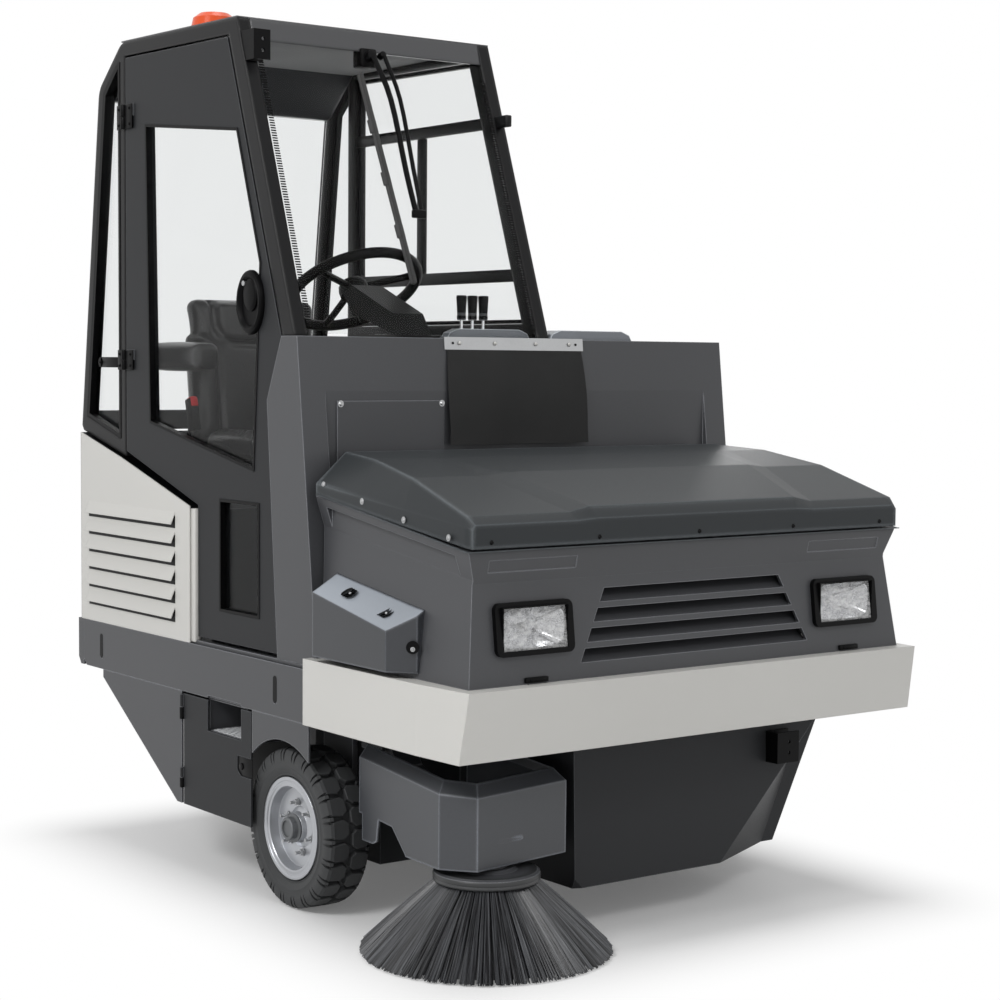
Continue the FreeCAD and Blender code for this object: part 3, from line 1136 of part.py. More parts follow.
def engine_lid():
    piece = new_body("engine_lid")
    low, high = "lid_inner_x", "body_half - 6"
    bottom = [("lid_front_y", "deck_front_top + 14"), ("panel_front", "deck_front_top + 14"),
              ("deck_mid_y", "deck_mid + 7"), ("deck_rear_y", "deck_rear + 7")]
    top = [("deck_rear_y", "lid_rear_top"), ("lid_crown_y + 250", "lid_crown"),
           ("lid_crown_y - 200", "lid_crown"), ("lid_front_y", "lid_front_top")]
    pad(piece, "x", bottom + top, low, high)
    inner = [("lid_front_y + 5", "deck_front_top + 8"), ("panel_front", "deck_front_top + 8"),
             ("deck_mid_y", "deck_mid + 2"), ("deck_rear_y - 5", "deck_rear + 2"),
             ("deck_rear_y - 5", "lid_rear_top - 5"), ("lid_crown_y + 250", "lid_crown - 5"),
             ("lid_crown_y - 200", "lid_crown - 5"), ("lid_front_y + 5", "lid_front_top - 5")]
    cut(piece, "x", inner, low + " + 5", high + " - 5")
    for place in LID_HINGES:
        pad(piece, "y", box("lid_pivot_x", "lid_inner_x + 14", "lid_crown - 5", "lid_pivot_z + 9"),
            place + " - 11", place + " + 11")
        DOC.recompute()
        pad(piece, "y", ("lid_pivot_x", "lid_pivot_z", "9"), place + " - 11", place + " + 11")
        DOC.recompute()
        cut(piece, "y", ("lid_pivot_x", "lid_pivot_z", "5 + shaft_gap"), place + " - 12", place + " + 12")


def lid_hinges():
    """Arms on the cab's left side that carry the engine lid's knuckles on pins."""
    arms = []
    for place in LID_HINGES:
        piece = new_body("lid_hinge")
        pad(piece, "y", box("cab_left + face_gap", "cab_left + 6", "lid_pivot_z - 24", "lid_pivot_z + 24"),
            place + " - 20", place + " + 20")
        DOC.recompute()
        for low in (" - 20", " + 12"):
            pad(piece, "y", box("cab_left + 5", "lid_pivot_x", "lid_pivot_z - 6", "lid_pivot_z + 6"),
                place + low, place + low + " + 8")
            DOC.recompute()
            pad(piece, "y", ("lid_pivot_x", "lid_pivot_z", "6"), place + low, place + low + " + 8")
            DOC.recompute()
        pad(piece, "y", ("lid_pivot_x", "lid_pivot_z", "5"), place + " - 20", place + " + 20")
        arms.append(piece)
    return arms


def engine_block():
    piece = new_body("engine_block")
    pad(piece, "z", box("engine_x - engine_half", "engine_x + engine_half", "engine_front", "engine_rear"),
        "beam_top", "beam_top + engine_high")


SERVICE_HINGES = (("212", "264"), ("389", "453"))


def service_door(side):
    """A door between the wheel arch and the slanted panel, hinged at its rear edge."""
    piece = new_body("service_door_" + name_side(side))
    low, high = span(side, "body_half - plate_wall", "body_half")
    top = "rail_bottom - running_gap"
    pad(piece, "x", box("skirt_front + running_gap", "service_pin_y - running_gap", "skirt_bottom", top),
        low, high)
    if side == RIGHT:
        cut(piece, "x", box("step_front", "step_rear", "step_bottom", "step_top + 1"),
            low + " - 1", high + " + 1")
    hollow = span(side, "body_half - 4", "body_half + 1")
    cut(piece, "x", [("skirt_front", "289"), ("961", "289"), ("979", "303"), ("979", "338"),
                     ("skirt_front", "338")], *hollow)
    for bottom, head in SERVICE_HINGES:
        pad(piece, "x", box("service_pin_y - running_gap - 1", "service_pin_y",
                            "((%s) + (%s)) / 2 + 0.5" % (bottom, head), head), low, high)
        DOC.recompute()
        hinge_moving(piece, flip(side, "body_half + 2"), "service_pin_y", bottom, head)
    return piece


def skirt(side):
    """The fixed wheel-arch panel in front of the door, with its round arch."""
    piece = new_body("skirt_" + name_side(side))
    low, high = span(side, "body_half - plate_wall", "body_half")
    pad(piece, "x", box("rail_front", "skirt_front", "skirt_bottom", "rail_bottom - face_gap"), low, high)
    cut(piece, "x", ("front_axle_y", "wheel_radius", "arch_radius"), low + " - 1", high + " + 1")
    cut(piece, "x", box("rail_front - 1", "front_axle_y", "skirt_bottom - 1", "wheel_radius"),
        low + " - 1", high + " + 1")
    cut(piece, "x", box("front_axle_y - 1", "front_axle_y + 90", "skirt_bottom - 1", "wheel_radius"),
        low + " - 1", high + " + 1")
    return piece


def rear_skirt(side):
    """The fixed slanted panel behind the door."""
    piece = new_body("rear_skirt_" + name_side(side))
    low, high = span(side, "body_half - plate_wall", "body_half")
    front = "service_pin_y + running_gap"
    pad(piece, "x", [(front, "skirt_bottom"), ("service_toe", "skirt_bottom"),
                     ("service_rear", "service_heel"), ("service_rear", "rail_bottom - face_gap"),
                     (front, "rail_bottom - face_gap")], low, high)
    for bottom, head in SERVICE_HINGES:
        DOC.recompute()
        middle = "((%s) + (%s)) / 2" % (bottom, head)
        pad(piece, "x", box("service_pin_y", front + " + 1", bottom, middle + " - 0.5"), low, high)
        DOC.recompute()
        hinge_fixed(piece, flip(side, "body_half + 2"), "service_pin_y", bottom, head)
    return piece


def step_tray():
    piece = new_body("step_tray")
    low, high = "-(body_half - plate_wall - running_gap)", "-(body_half - plate_wall - step_depth)"
    pad(piece, "x", box("step_front - 12", "step_rear + 12", "step_bottom - 10",
                        "rail_bottom - face_gap"), low, high)
    cut(piece, "x", box("step_front - 8", "step_rear + 8", "step_bottom", "step_top"),
        low + " - 1", high + " - 4")


# Driver's place


def deck_line(place):
    """Height of the deck's slope at a place along the machine."""
    return ("(deck_front_top + (%s - deck_front) * (deck_mid - deck_front_top) / (deck_mid_y - deck_front))"
            % place)


def seat():
    base = new_body("seat_base")
    left, right = "seat_x - 170", "seat_x + 170"
    front, rear = "(seat_front + 40)", "(seat_rear - 100)"
    pad(base, "x", [(front, deck_line(front) + " + face_gap"), (front, "seat_low"),
                    (rear, "seat_low"), (rear, deck_line(rear) + " + face_gap")], left, right)
    together("seat_frame", [base, armrest()])
    cushion = new_body("seat_cushion")
    pad(cushion, "z", box("seat_x - seat_half", "seat_x + seat_half", "seat_front", "seat_rear - 90"),
        "seat_low + face_gap", "cushion_top")
    back = new_body("seat_back")
    pad(back, "x", [("seat_rear - 90 + face_gap", "seat_low + 20"),
                    ("seat_rear - 88 + back_wall", "seat_low + 20"),
                    ("seat_rear - 30 + back_wall", "back_top"), ("seat_rear - 30", "back_top")],
        "seat_x - seat_half", "seat_x + seat_half")
    together("seat_pads", [cushion, back])


def steering():
    """The column's cover, with the shaft that carries the hand wheel."""
    cover = new_body("column_cover")
    pad(cover, "x", [("console_top_y + 56", "console_top + face_gap"),
                     ("console_back_y", "console_top + face_gap"),
                     ("wheel_y - 60", "wheel_z - 60"), ("wheel_y - 20", "wheel_z - 10"),
                     ("wheel_y - 60", "wheel_z + 10"), ("console_top_y + 100", "console_top + 60")],
        "seat_x - 45", "seat_x + 45")
    tilt = FreeCAD.Rotation(FreeCAD.Vector(1, 0, 0), -size("column_tilt"))
    shaft = rod("Steering_shaft", "12", "105", tilt)
    shaft.Placement.Rotation = tilt
    put(shaft, "seat_x", "wheel_y - 95 * sin(column_tilt * 1deg)", "wheel_z - 95 * cos(column_tilt * 1deg)")
    SUBPARTS.remove(cover)
    fused("steering_column", [cover, shaft])
    hand_wheel(tilt)


def hand_wheel(tilt):
    """An eight-sided grip turned into a ring, with a hub and three spokes."""
    piece = new_body("steering_wheel", "seat_x", "wheel_y", "wheel_z")
    piece.Placement.Rotation = tilt
    flat = "hand_grip * 0.42"
    right = [(flat, "-hand_grip"), ("hand_grip", "-(%s)" % flat), ("hand_grip", flat), (flat, "hand_grip")]
    grip = right + [("-(%s)" % across, up) for across, up in reversed(right)]
    turn(piece, [("hand_ring + (%s)" % across, up) for across, up in grip], "Z_Axis", "XZ_Plane")
    DOC.recompute()
    spoke = pad(piece, "y", ("0", "0", "9"), "0", "hand_ring")
    DOC.recompute()
    polar(piece, spoke, 3)
    DOC.recompute()
    pad(piece, "z", ("0", "0", "34"), "-15", "15")
    DOC.recompute()
    cut(piece, "z", ("0", "0", "12 + shaft_gap"), "-40", "40")


def console_back(level):
    """How far back the console's rear slope lies at a height."""
    return ("(console_back_y + (console_top - (%s)) * (console_knee_y - console_back_y)"
            " / (console_top - console_knee))" % level)


def levers():
    piece = new_body("control_levers")
    foot, head = "(lever_y - 160)", "(console_top - 20)"
    pad(piece, "x", [(console_back("lever_foot") + " + face_gap", "lever_foot"), ("lever_y + 24", "lever_foot"),
                     ("lever_y + 24", head), (console_back(head) + " + face_gap", head)], "-150", "-12")
    DOC.recompute()
    for index in range(3):
        place = "-115 + %d" % (index * 34)
        pad(piece, "z", (place, "lever_y", "4"), head + " - 1", "lever_top - 60")
        DOC.recompute()
        pad(piece, "z", (place, "lever_y", "11"), "lever_top - 61", "lever_top")
        DOC.recompute()


def side_box(side):
    """The raised cover on the front body's side, with its slanted top and front."""
    piece = new_body("side_box_" + name_side(side))
    reach = "side_reach"

    def ring(inner_foot, inner_top, outer, inner_level, outer_level):
        corners = [(inner_foot, "box_foot"), (outer, "box_foot"), (outer, outer_level),
                   (inner_top, inner_level)]
        return [(flip(side, across), up) for across, up in corners]

    loft(piece, "y", [
        ("box_front", ring("nose_foot_half - 0.6", "nose_foot_half - 15.9", "nose_foot_half + 4",
                           "770", "758")),
        ("box_front + 55", ring("nose_foot_half - 0.6", "nose_foot_half - 16.2", reach, "777", "723")),
        ("box_rear", ring("nose_foot_half - 0.6", "nose_foot_half - 17.9", reach, "820", "780"))])
    return piece


def plate_bracket(label, foot, x, wide, low, high, reach):
    """A bent plate: a foot on its carrier, a web forward and a face with two holes."""
    piece = new_body(label)
    pad(piece, "x", [(foot(low) + " - face_gap", low), (foot(high) + " - face_gap", high),
                     (foot(high) + " - 5", high), (foot(low) + " - 5", low)], x, "%s + %s" % (x, wide))
    DOC.recompute()
    pad(piece, "x", [(foot(low) + " - 4", low), (foot(high) + " - 4", high), (reach, high), (reach, low)],
        x, x + " + 5")
    DOC.recompute()
    pad(piece, "y", box(x, "%s + %s" % (x, wide), low, high), reach, reach + " + 5")
    middle = "((%s) + (%s)) / 2" % (low, high)
    for sense in ("-", "+"):
        cut(piece, "y", ("%s + %s / 2 + 3" % (x, wide), "%s %s mount_pitch / 2" % (middle, sense),
                         "mount_hole"), reach + " - 1", reach + " + 6")
    return piece


def brackets():
    def hopper_face(level):
        return "(hopper_front + 10 * ((%s) - hopper_bottom) / (hopper_top - hopper_bottom))" % level

    def pillar_face(level):
        return "(cab_foot_y + ((%s) - cab_foot) * (cab_brow_y - cab_foot_y) / (cab_brow - cab_foot))" % level

    second_brush = plate_bracket("brush_mount", hopper_face, "mount_x", "mount_wide", "mount_low", "mount_high",
                                 "(hopper_front - mount_reach)")
    lamp = plate_bracket("lamp_bracket", pillar_face, "-(cab_right - 2)", "46",
                         "cab_brow - 107", "cab_brow - 35", "(cab_brow_y - 78)")
    return [second_brush, lamp]


def armrest():
    piece = new_body("armrest")
    left, right = "seat_x - seat_half - 82", "seat_x - seat_half - 22"
    pad(piece, "x", [("1330", "1290"), ("1330", "1330"), ("1345", "1342"), ("1600", "1342"), ("1612", "1330"),
                     ("1612", "1290")], left, right)
    pad(piece, "x", box("1545", "1600", "1280", "1320"), right + " - 1", "seat_x - seat_half - face_gap")
    return piece


def tail_lamp(side):
    piece = new_body("tail_lamp_" + name_side(side))
    low, high = span(side, "body_half - 130", "body_half - 60")
    pad(piece, "y", box(low, high, "720", "880"), "overall_length - 8 + face_gap", "overall_length - 1")
    return piece


def access_cover():
    """A flat cover in the console's recess, beside the rubber flap."""
    piece = new_body("access_cover")
    pad(piece, "z", box("-564", "flap_left - 16", "recess_y - sheet_wall", "recess_y - face_gap"),
        "recess_foot + 90", "recess_top - 23")


def beacon():
    piece = new_body("beacon", "-beacon_x", "beacon_y", "0")
    slope = "(cab_roof_rear - cab_brow) / (cab_roof_rear_y - cab_brow_y)"
    foot = "cab_brow + roof_wall + 0.33 + (beacon_y + beacon_radius - cab_brow_y) * " + slope
    turn(piece, [("0", foot), ("beacon_radius", foot), ("beacon_radius - 8", foot + " + beacon_high - 12"),
                 ("beacon_radius - 24", foot + " + beacon_high"), ("0", foot + " + beacon_high")],
         "Z_Axis", "XZ_Plane")


def both(label, make):
    """The right-hand and the left-hand piece of a pair, kept as one node."""
    together(label, [make(side) for side in (RIGHT, LEFT)])


def build():
    fill_sheet()
    for side in (RIGHT, LEFT):
        service_door(side)
        cab_side(side)
        name = name_side(side)
        tyre("tyre_front_" + name, flip(side, "front_wheel_x"), "front_axle_y")
        rim("rim_front_" + name, flip(side, "front_wheel_x"), "front_axle_y", side)
    together("rails", [side_rail(RIGHT), side_rail(LEFT), rear_beam()])
    both("wheel_carriers", wheel_carrier)
    panels = [make(side) for make in (skirt, rear_skirt) for side in (RIGHT, LEFT)]
    together("fixed_panels", panels + [left_panel()])
    both("rear_side_panels", rear_panel)
    lamps = [headlamp(side) for side in (RIGHT, LEFT)]
    together("headlamps", [pair[0] for pair in lamps])
    together("headlamp_lenses", [pair[1] for pair in lamps])
    together("lid_supports", hood_hinges() + lid_hinges())
    together("accessory_brackets", brackets())
    together("rubber_flaps", [dust_flap(), rubber_flap()])
    both("side_boxes", side_box)
    both("tail_lamps", tail_lamp)
    tyre("tyre_rear", "0", "rear_axle_y")
    rim("rim_rear", "0", "rear_axle_y", RIGHT)
    for make in (sub_frame, steer_fork, broom_housing, main_broom, hopper, brush_arm,
                 brush_bracket, brush_cover, side_brush, brush_plate, bumper, front_shell, hood,
                 console, flap_strip, cab_cross_frame, cab_glass,
                 cab_door, door_handle, deck, floor_plate, rear_cover, engine_lid,
                 engine_block, step_tray, seat, steering, levers, beacon, console_covers,
                 access_cover):
        make()


def export():
    DOC.recompute()
    for item in DOC.Objects:
        if "Invalid" in item.State or "Error" in item.State:
            raise RuntimeError("%s (%s) failed" % (item.Name, item.Label))
    os.makedirs("parts", exist_ok=True)
    for piece in SUBPARTS:
        shape = piece.Shape
        if shape.isNull() or not shape.isValid() or not shape.Solids:
            raise RuntimeError("%s has no valid solid" % piece.Label)
        shape.exportStep("parts/%s.step" % piece.Label)


build()
export()
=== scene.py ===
"""Looks for the compact ride-on road sweeper: finishes, fine pieces, camera and light.

Lengths given to the piece makers are the machine's own millimetres: x from the middle
plane with the right-hand side negative, y back from the bumper's front face, z up.
"""
import random
from contextlib import contextmanager
from math import atan2, copysign, cos, exp, hypot, pi, radians, sin

import bmesh
import bpy
from mathutils import Matrix, Vector


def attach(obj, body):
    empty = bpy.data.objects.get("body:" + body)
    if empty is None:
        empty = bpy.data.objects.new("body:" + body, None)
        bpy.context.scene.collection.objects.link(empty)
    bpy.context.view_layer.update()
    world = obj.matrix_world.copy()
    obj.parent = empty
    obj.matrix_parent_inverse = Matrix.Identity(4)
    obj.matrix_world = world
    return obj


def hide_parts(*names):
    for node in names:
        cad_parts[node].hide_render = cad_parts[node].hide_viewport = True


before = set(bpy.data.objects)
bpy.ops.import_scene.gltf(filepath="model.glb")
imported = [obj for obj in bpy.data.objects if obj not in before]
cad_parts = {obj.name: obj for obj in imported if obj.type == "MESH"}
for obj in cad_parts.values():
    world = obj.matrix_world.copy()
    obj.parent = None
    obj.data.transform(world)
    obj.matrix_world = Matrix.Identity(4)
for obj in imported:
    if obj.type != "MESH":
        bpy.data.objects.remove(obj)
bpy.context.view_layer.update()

RIGHT, LEFT = -1, 1
SIDES = ((RIGHT, "right"), (LEFT, "left"))
TURN = 2 * pi
ACROSS, BACK, UP = Vector((1, 0, 0)), Vector((0, 1, 0)), Vector((0, 0, 1))
AHEAD = -BACK

# The camera, in metres and degrees, as solved from the photograph
CAMERA_PLACE = (-3.1712, -4.3956, 1.3051)
CAMERA_YAW, CAMERA_PITCH, CAMERA_ROLL = 36.6249, 3.7278, 0.4472
CAMERA_LENS = 75.498

# The machine's zero in the frame, in metres; all lengths from here on are millimetres
ZERO = Vector((0.0325, -0.8925, 0.0))
BODY_HALF = 672              # outer face of rails and rear panels
WHEEL_X, FRONT_AXLE_Y, REAR_AXLE_Y, AXLE_Z = 597.5, 765, 1545, 192.5
BRUSH_MIDDLE = Vector((-480, 200, 0))
BROOM_MIDDLE, BROOM_HALF = Vector((0, 1120, 141)), 400
LAMP_X, LAMP_Z = 472, 739
CAB_RIGHT, CAB_LEFT = -660, 92   # outer faces of the cab's side frames
SCREEN_LEAN = Vector((0, 272, 769)).normalized()
HINGE_Y = 1597               # pins of the cab door
STRIP_Y, STRIP_Z = 706.5, 1354   # face of the bright strip over the front flap
SEAT_X, SEAT_BACK_Y, SEAT_BACK_Z = -285, 1500, 1062
LEVERS_X, LEVERS_Y = (-115, -81, -47), 822
HAND_WHEEL = Vector((SEAT_X, 1060, 1490))
STEP_Z = 377.6


# Camera


def place_camera():
    """The photograph's view: from the right and in front, a little above, long lens."""
    yaw, pitch, roll = (radians(a) for a in (CAMERA_YAW, CAMERA_PITCH, CAMERA_ROLL))
    ahead = Vector((sin(yaw) * cos(pitch), cos(yaw) * cos(pitch), -sin(pitch)))
    across = Vector((cos(yaw), -sin(yaw), 0))
    up = across.cross(ahead)
    right = across * cos(roll) + up * sin(roll)
    top = up * cos(roll) - across * sin(roll)
    data = bpy.data.cameras.new("photo_camera")
    data.lens = CAMERA_LENS
    data.sensor_width = 36
    data.clip_start = 0.1
    data.clip_end = 60
    camera = bpy.data.objects.new("photo_camera", data)
    bpy.context.scene.collection.objects.link(camera)
    stance = Matrix((right, top, -ahead)).transposed().to_4x4()
    camera.matrix_world = Matrix.Translation(CAMERA_PLACE) @ stance
    bpy.context.scene.camera = camera


# Finishes


def tone(red, green, blue):
    """A colour as it looks on a screen, from 0 to 255, in the renderer's linear scale."""
    def linear(part):
        part /= 255
        return part / 12.92 if part <= 0.04045 else ((part + 0.055) / 1.055) ** 2.4
    return (linear(red), linear(green), linear(blue), 1)


def times(color, factor, lift=0.0):
    """A colour made darker or paler, no brighter than white."""
    return tuple(min(1, part * factor + lift) for part in color[:3]) + (1,)


class Wire:
    """A socket that adds its own Math nodes when it meets plain arithmetic."""

    def __init__(self, nodes, socket):
        self.nodes = nodes
        self.socket = socket

    def maths(self, operation, *others, clamp=False):
        return self.nodes.node("ShaderNodeMath", dict(operation=operation, use_clamp=clamp),
                               **{"in%d" % i: v for i, v in enumerate((self,) + others)})

    def __add__(self, other):
        return self.maths("ADD", other)

    def __sub__(self, other):
        return self.maths("SUBTRACT", other)

    def __mul__(self, other):
        return self.maths("MULTIPLY", other)

    def __rsub__(self, other):
        return self.nodes.node("ShaderNodeMath", dict(operation="SUBTRACT"), in0=other, in1=self)

    __radd__ = __add__
    __rmul__ = __mul__

    def kept(self):
        """The value held between 0 and 1."""
        return self.maths("ADD", 0.0, clamp=True)

    def between(self, low, high, **settings):
        """0 below the low value, 1 above the high one."""
        return self.nodes.node("ShaderNodeMapRange", settings, Value=self, From_Min=low,
                               From_Max=high)


class Nodes:
    """The nodes of a material or of the room's light."""

    def __init__(self, tree):
        self.tree = tree

    def feed(self, socket, value):
        if isinstance(value, Wire):
            self.tree.links.new(value.socket, socket)
        else:
            socket.default_value = value

    def node(self, kind, settings=None, out=0, **inputs):
        """Settings go in first; a socket is named, or numbered as in0, in1 and so on."""
        made = self.tree.nodes.new(kind)
        for name, value in (settings or {}).items():
            setattr(made, name, value)
        for name, value in inputs.items():
            numbered = name.startswith("in") and name[2:].isdigit()
            self.feed(made.inputs[int(name[2:]) if numbered else name.replace("_", " ")], value)
        return Wire(self, made.outputs[out])

    def in_sight(self):
        """1 for rays that come from the camera, straight, by reflection or through glass."""
        camera, glossy, through = (self.node("ShaderNodeLightPath", out=out) for out in (0, 3, 6))
        return camera.maths("MAXIMUM", glossy).maths("MAXIMUM", through)


FINISHES = {}


class Finish(Nodes):
    """A procedural material, entered in FINISHES under its name."""

    def __init__(self, name, color, roughness, metallic=0.0, **fixed):
        self.material = FINISHES[name] = bpy.data.materials.new(name)
        self.material.use_nodes = True
        super().__init__(self.material.node_tree)
        self.shader = self.tree.nodes["Principled BSDF"]
        self.color = color
        self.set("Base Color", color)
        self.set("Roughness", roughness)
        self.set("Metallic", metallic)
        for socket, value in fixed.items():
            self.set(socket.replace("_", " "), value)

    def set(self, socket, value):
        self.feed(self.shader.inputs[socket], value)

    def place(self, axis=None):
        """Object coordinates, or one of them."""
        coords = self.node("ShaderNodeTexCoord", out=3)
        if axis is None:
            return coords
        return self.node("ShaderNodeSeparateXYZ", out="XYZ".index(axis), Vector=coords)

    def noise(self, scale, detail=2.0, rough=0.5, stretch=None):
        coords = self.place()
        if stretch is not None:
            coords = self.node("ShaderNodeMapping", Vector=coords, Scale=stretch)
        return self.node("ShaderNodeTexNoise", Vector=coords, Scale=scale, Detail=detail,
                         Roughness=rough)

    def mix(self, share, first, second):
        return self.node("ShaderNodeMix", dict(data_type="RGBA"), out=2, in0=share, in6=first,
                         in7=second)

    def shade(self, mask, depth):
        """Base colour that darkens and lightens with a mask."""
        self.set("Base Color", self.mix(mask, times(self.color, 1 - depth),
                                        times(self.color, 1 + depth)))

    def overlay(self, share, color):
        """Lay a second colour over the base colour made so far."""
        base = Wire(self, self.shader.inputs["Base Color"].links[0].from_socket)
        self.set("Base Color", self.mix(share, base, color))

    def bump(self, height, distance, strength, edge=0.0, edge_highlight=2.0):
        """Fine relief, over corners that look rounded to a radius in metres and painted paler there
        as a highlight.
        """
        fixed = dict(Height=height, Distance=distance, Strength=strength)
        if edge:
            fixed["Normal"] = self.node("ShaderNodeBevel", dict(samples=6), Radius=edge)
            flat = self.node("ShaderNodeNewGeometry", out=1)
            highlight_bend = 1 - self.node("ShaderNodeVectorMath", dict(operation="DOT_PRODUCT"), out=1,
                                 in0=fixed["Normal"], in1=flat)
            # painted highlight: the colour turns paler where the rounded normal bends away from the
            # flat face
            self.overlay(highlight_bend.between(0.012, 0.16), times(self.color, edge_highlight, 0.02))
        self.set("Normal", self.node("ShaderNodeBump", **fixed))


def coarse_paint(name, color, roughness=0.46, speck=0.24, grain=360, edge=0.004, gloss=0.5,
                 top=None, edge_highlight=4.5):
    """Structured powder coat: tiny pips that sparkle a little; faces that look up painted paler as
    a highlight where asked, and rounded edges painted paler as a highlight.
    """
    finish = Finish(name, color, roughness, Specular_IOR_Level=gloss)
    pips = finish.noise(grain, 3, 0.6)
    drift = finish.noise(2.2, 2)
    finish.shade((pips * 0.75 + drift * 0.35).kept(), speck)
    # painted highlight: faces that look up take the paler top colour, as where light falls from
    # above
    if top:
        highlight_facing_up = finish.node("ShaderNodeSeparateXYZ", out=2,
                             Vector=finish.node("ShaderNodeNewGeometry", out=1))
        finish.overlay(highlight_facing_up.between(0.5, 0.9), top)
    finish.set("Roughness", pips * 0.22 + (roughness - 0.11))
    finish.bump(pips, 0.00022, 0.55, edge, edge_highlight)


def smooth_paint(name, color, roughness=0.34, coat=0.25, edge=0.003, gloss=0.4, metallic=0.0):
    """Gloss paint with faint orange peel and a trace of dust in the hollows; rounded edges painted
    a little paler as a highlight.
    """
    finish = Finish(name, color, roughness, metallic, Coat_Weight=coat, Coat_Roughness=0.18,
                    Specular_IOR_Level=gloss)
    peel = finish.noise(240, 2)
    drift = finish.noise(1.6, 3)
    finish.shade(drift, 0.05)
    finish.set("Roughness", drift * 0.14 + (roughness - 0.07))
    # 1.15: rounded edges painted a little paler, as a highlight
    finish.bump(peel, 0.00005, 0.35, edge, 1.15)


def moulded(name, color, roughness=0.5, grain=500, depth=0.00005, gloss=0.3):
    """Moulded plastic or rubber with a fine grain."""
    finish = Finish(name, color, roughness, Specular_IOR_Level=gloss)
    pips = finish.noise(grain, 2)
    finish.shade(finish.noise(7, 3), 0.14)
    finish.set("Roughness", pips * 0.16 + (roughness - 0.08))
    finish.bump(pips, depth, 0.6)


def worn_metal(name, color, roughness, depth=0.00008, metallic=1.0):
    """Bare or plated metal with drawn lines and clouding."""
    finish = Finish(name, color, roughness, metallic)
    lines = finish.noise(300, 2, 0.5, (1, 1, 1))
    cloud = finish.noise(18, 3)
    finish.shade((lines * 0.4 + cloud * 0.6).kept(), 0.16)
    finish.set("Roughness", cloud * 0.2 + (roughness - 0.1))
    finish.bump(lines, depth, 0.4)


def glass(name, color):
    """Thin safety glass: nearly clear, with a faint cloud of dust in its tint."""
    finish = Finish(name, color, 0.0, Transmission_Weight=1.0, IOR=1.12)
    finish.shade(finish.noise(1.4, 2), 0.02)


def pressed_lens(name):
    """Lamp glass with upright flutes, clouded white and grey as a painted sparkle where the pattern
    scatters the light.
    """
    finish = Finish(name, tone(232, 234, 236), 0.12, Alpha=0.5)
    flutes = (finish.place("X") * 1300).maths("SINE")
    # painted sparkle: a white and grey cloud in the colour and the alpha
    cloud = finish.noise(55, 4, 0.7, (1, 1, 1.6)).between(0.4, 0.62)
    finish.set("Base Color", finish.mix(cloud, tone(205, 206, 207), tone(255, 255, 255)))
    finish.set("Alpha", cloud * 0.15 + 0.28)
    finish.bump(flutes, 0.0012, 0.6)


def strands(name, dark, light):
    """Black bristles with painted highlights: pale thin streaks out from the brush's middle, where
    their sides catch the light.
    """
    finish = Finish(name, dark, 0.32)
    hub = ZERO + BRUSH_MIDDLE / 1000
    east, north = finish.place("X") - hub.x, finish.place("Y") - hub.y
    bearing = north.maths("ARCTAN2", east)
    reach = (east * east + north * north).maths("POWER", 0.5)
    line = finish.node("ShaderNodeCombineXYZ", X=bearing * 70, Y=reach * 6,
                       Z=finish.place("Z") * 3)
    streak = finish.node("ShaderNodeTexNoise", Vector=line, Scale=1.0, Detail=3.0, Roughness=0.7)
    # painted highlight: the streak mask mixes the pale colour over the black
    finish.set("Base Color", finish.mix(streak.between(0.42, 0.72), dark, light))
    finish.set("Roughness", streak * 0.3 + 0.2)


# the paints below paint their rounded edges paler as a highlight
coarse_paint("dark_paint", tone(64, 65, 68))
# hood: strong painted highlight on the rounded crest and edges
coarse_paint("hood_paint", tone(49, 52, 54), 0.45, 0.1, grain=500, edge=0.014, gloss=0.2,
             edge_highlight=5.0)
smooth_paint("light_paint", tone(204, 203, 199), 0.4, 0.1, 0.004)
smooth_paint("frame_black", tone(9, 9, 11), 0.36, 0.0, 0.012, 0.2)
moulded("tyre", tone(60, 61, 62), 0.6, 260, 0.0003)
smooth_paint("wheel_paint", tone(176, 178, 182), 0.34, 0.0, 0.002, 0.5, 0.8)
moulded("black_plastic", tone(9, 9, 10), 0.38, gloss=0.1)
moulded("rubber", tone(74, 74, 74), 0.66, gloss=0.15)
strands("bristle", tone(34, 34, 36), tone(110, 112, 116))
worn_metal("bare_steel", tone(178, 179, 180), 0.42)
worn_metal("engine_metal", tone(110, 112, 114), 0.55, metallic=0.6)
# brush cover: strong painted highlight on its rounded edges
coarse_paint("cover_metal", tone(64, 66, 70), 0.38, 0.22, grain=300, edge=0.009, edge_highlight=6.0)
moulded("amber", tone(226, 84, 36), 0.22, 120)
moulded("red_lens", tone(150, 22, 18), 0.2, 120)
moulded("seat_cover", tone(14, 14, 16), 0.3, 300, 0.00003, 0.6)
glass("window", tone(243, 244, 244))
pressed_lens("lamp_lens")
SLOT_NAMES = set(FINISHES)   # the record has no slots for the finishes below
smooth_paint("roof_paint", tone(36, 37, 41), 0.3, 0.0, 0.012, 0.9)
coarse_paint("door_paint", tone(36, 37, 39), 0.5, 0.1, grain=500, gloss=0.2)
coarse_paint("hopper_paint", tone(44, 45, 47), 0.5, 0.06, gloss=0.2)
# side boxes: faces that look up painted pale as a highlight from the light above
coarse_paint("box_paint", tone(50, 52, 56), 0.36, 0.2, grain=300, edge=0.008,
             top=tone(178, 185, 194))
coarse_paint("cowl_paint", tone(122, 126, 132), 0.4, 0.1)
coarse_paint("rubber_edge", tone(46, 47, 48), 0.4)
moulded("lining", tone(150, 150, 150), 0.8)
moulded("paddle", tone(6, 6, 7), 0.42, gloss=0.08)
moulded("red_button", tone(206, 40, 44), 0.3)
worn_metal("reflector", tone(235, 236, 238), 0.12, 0.00001)
worn_metal("bright_tread", tone(226, 228, 230), 0.36, metallic=0.3)

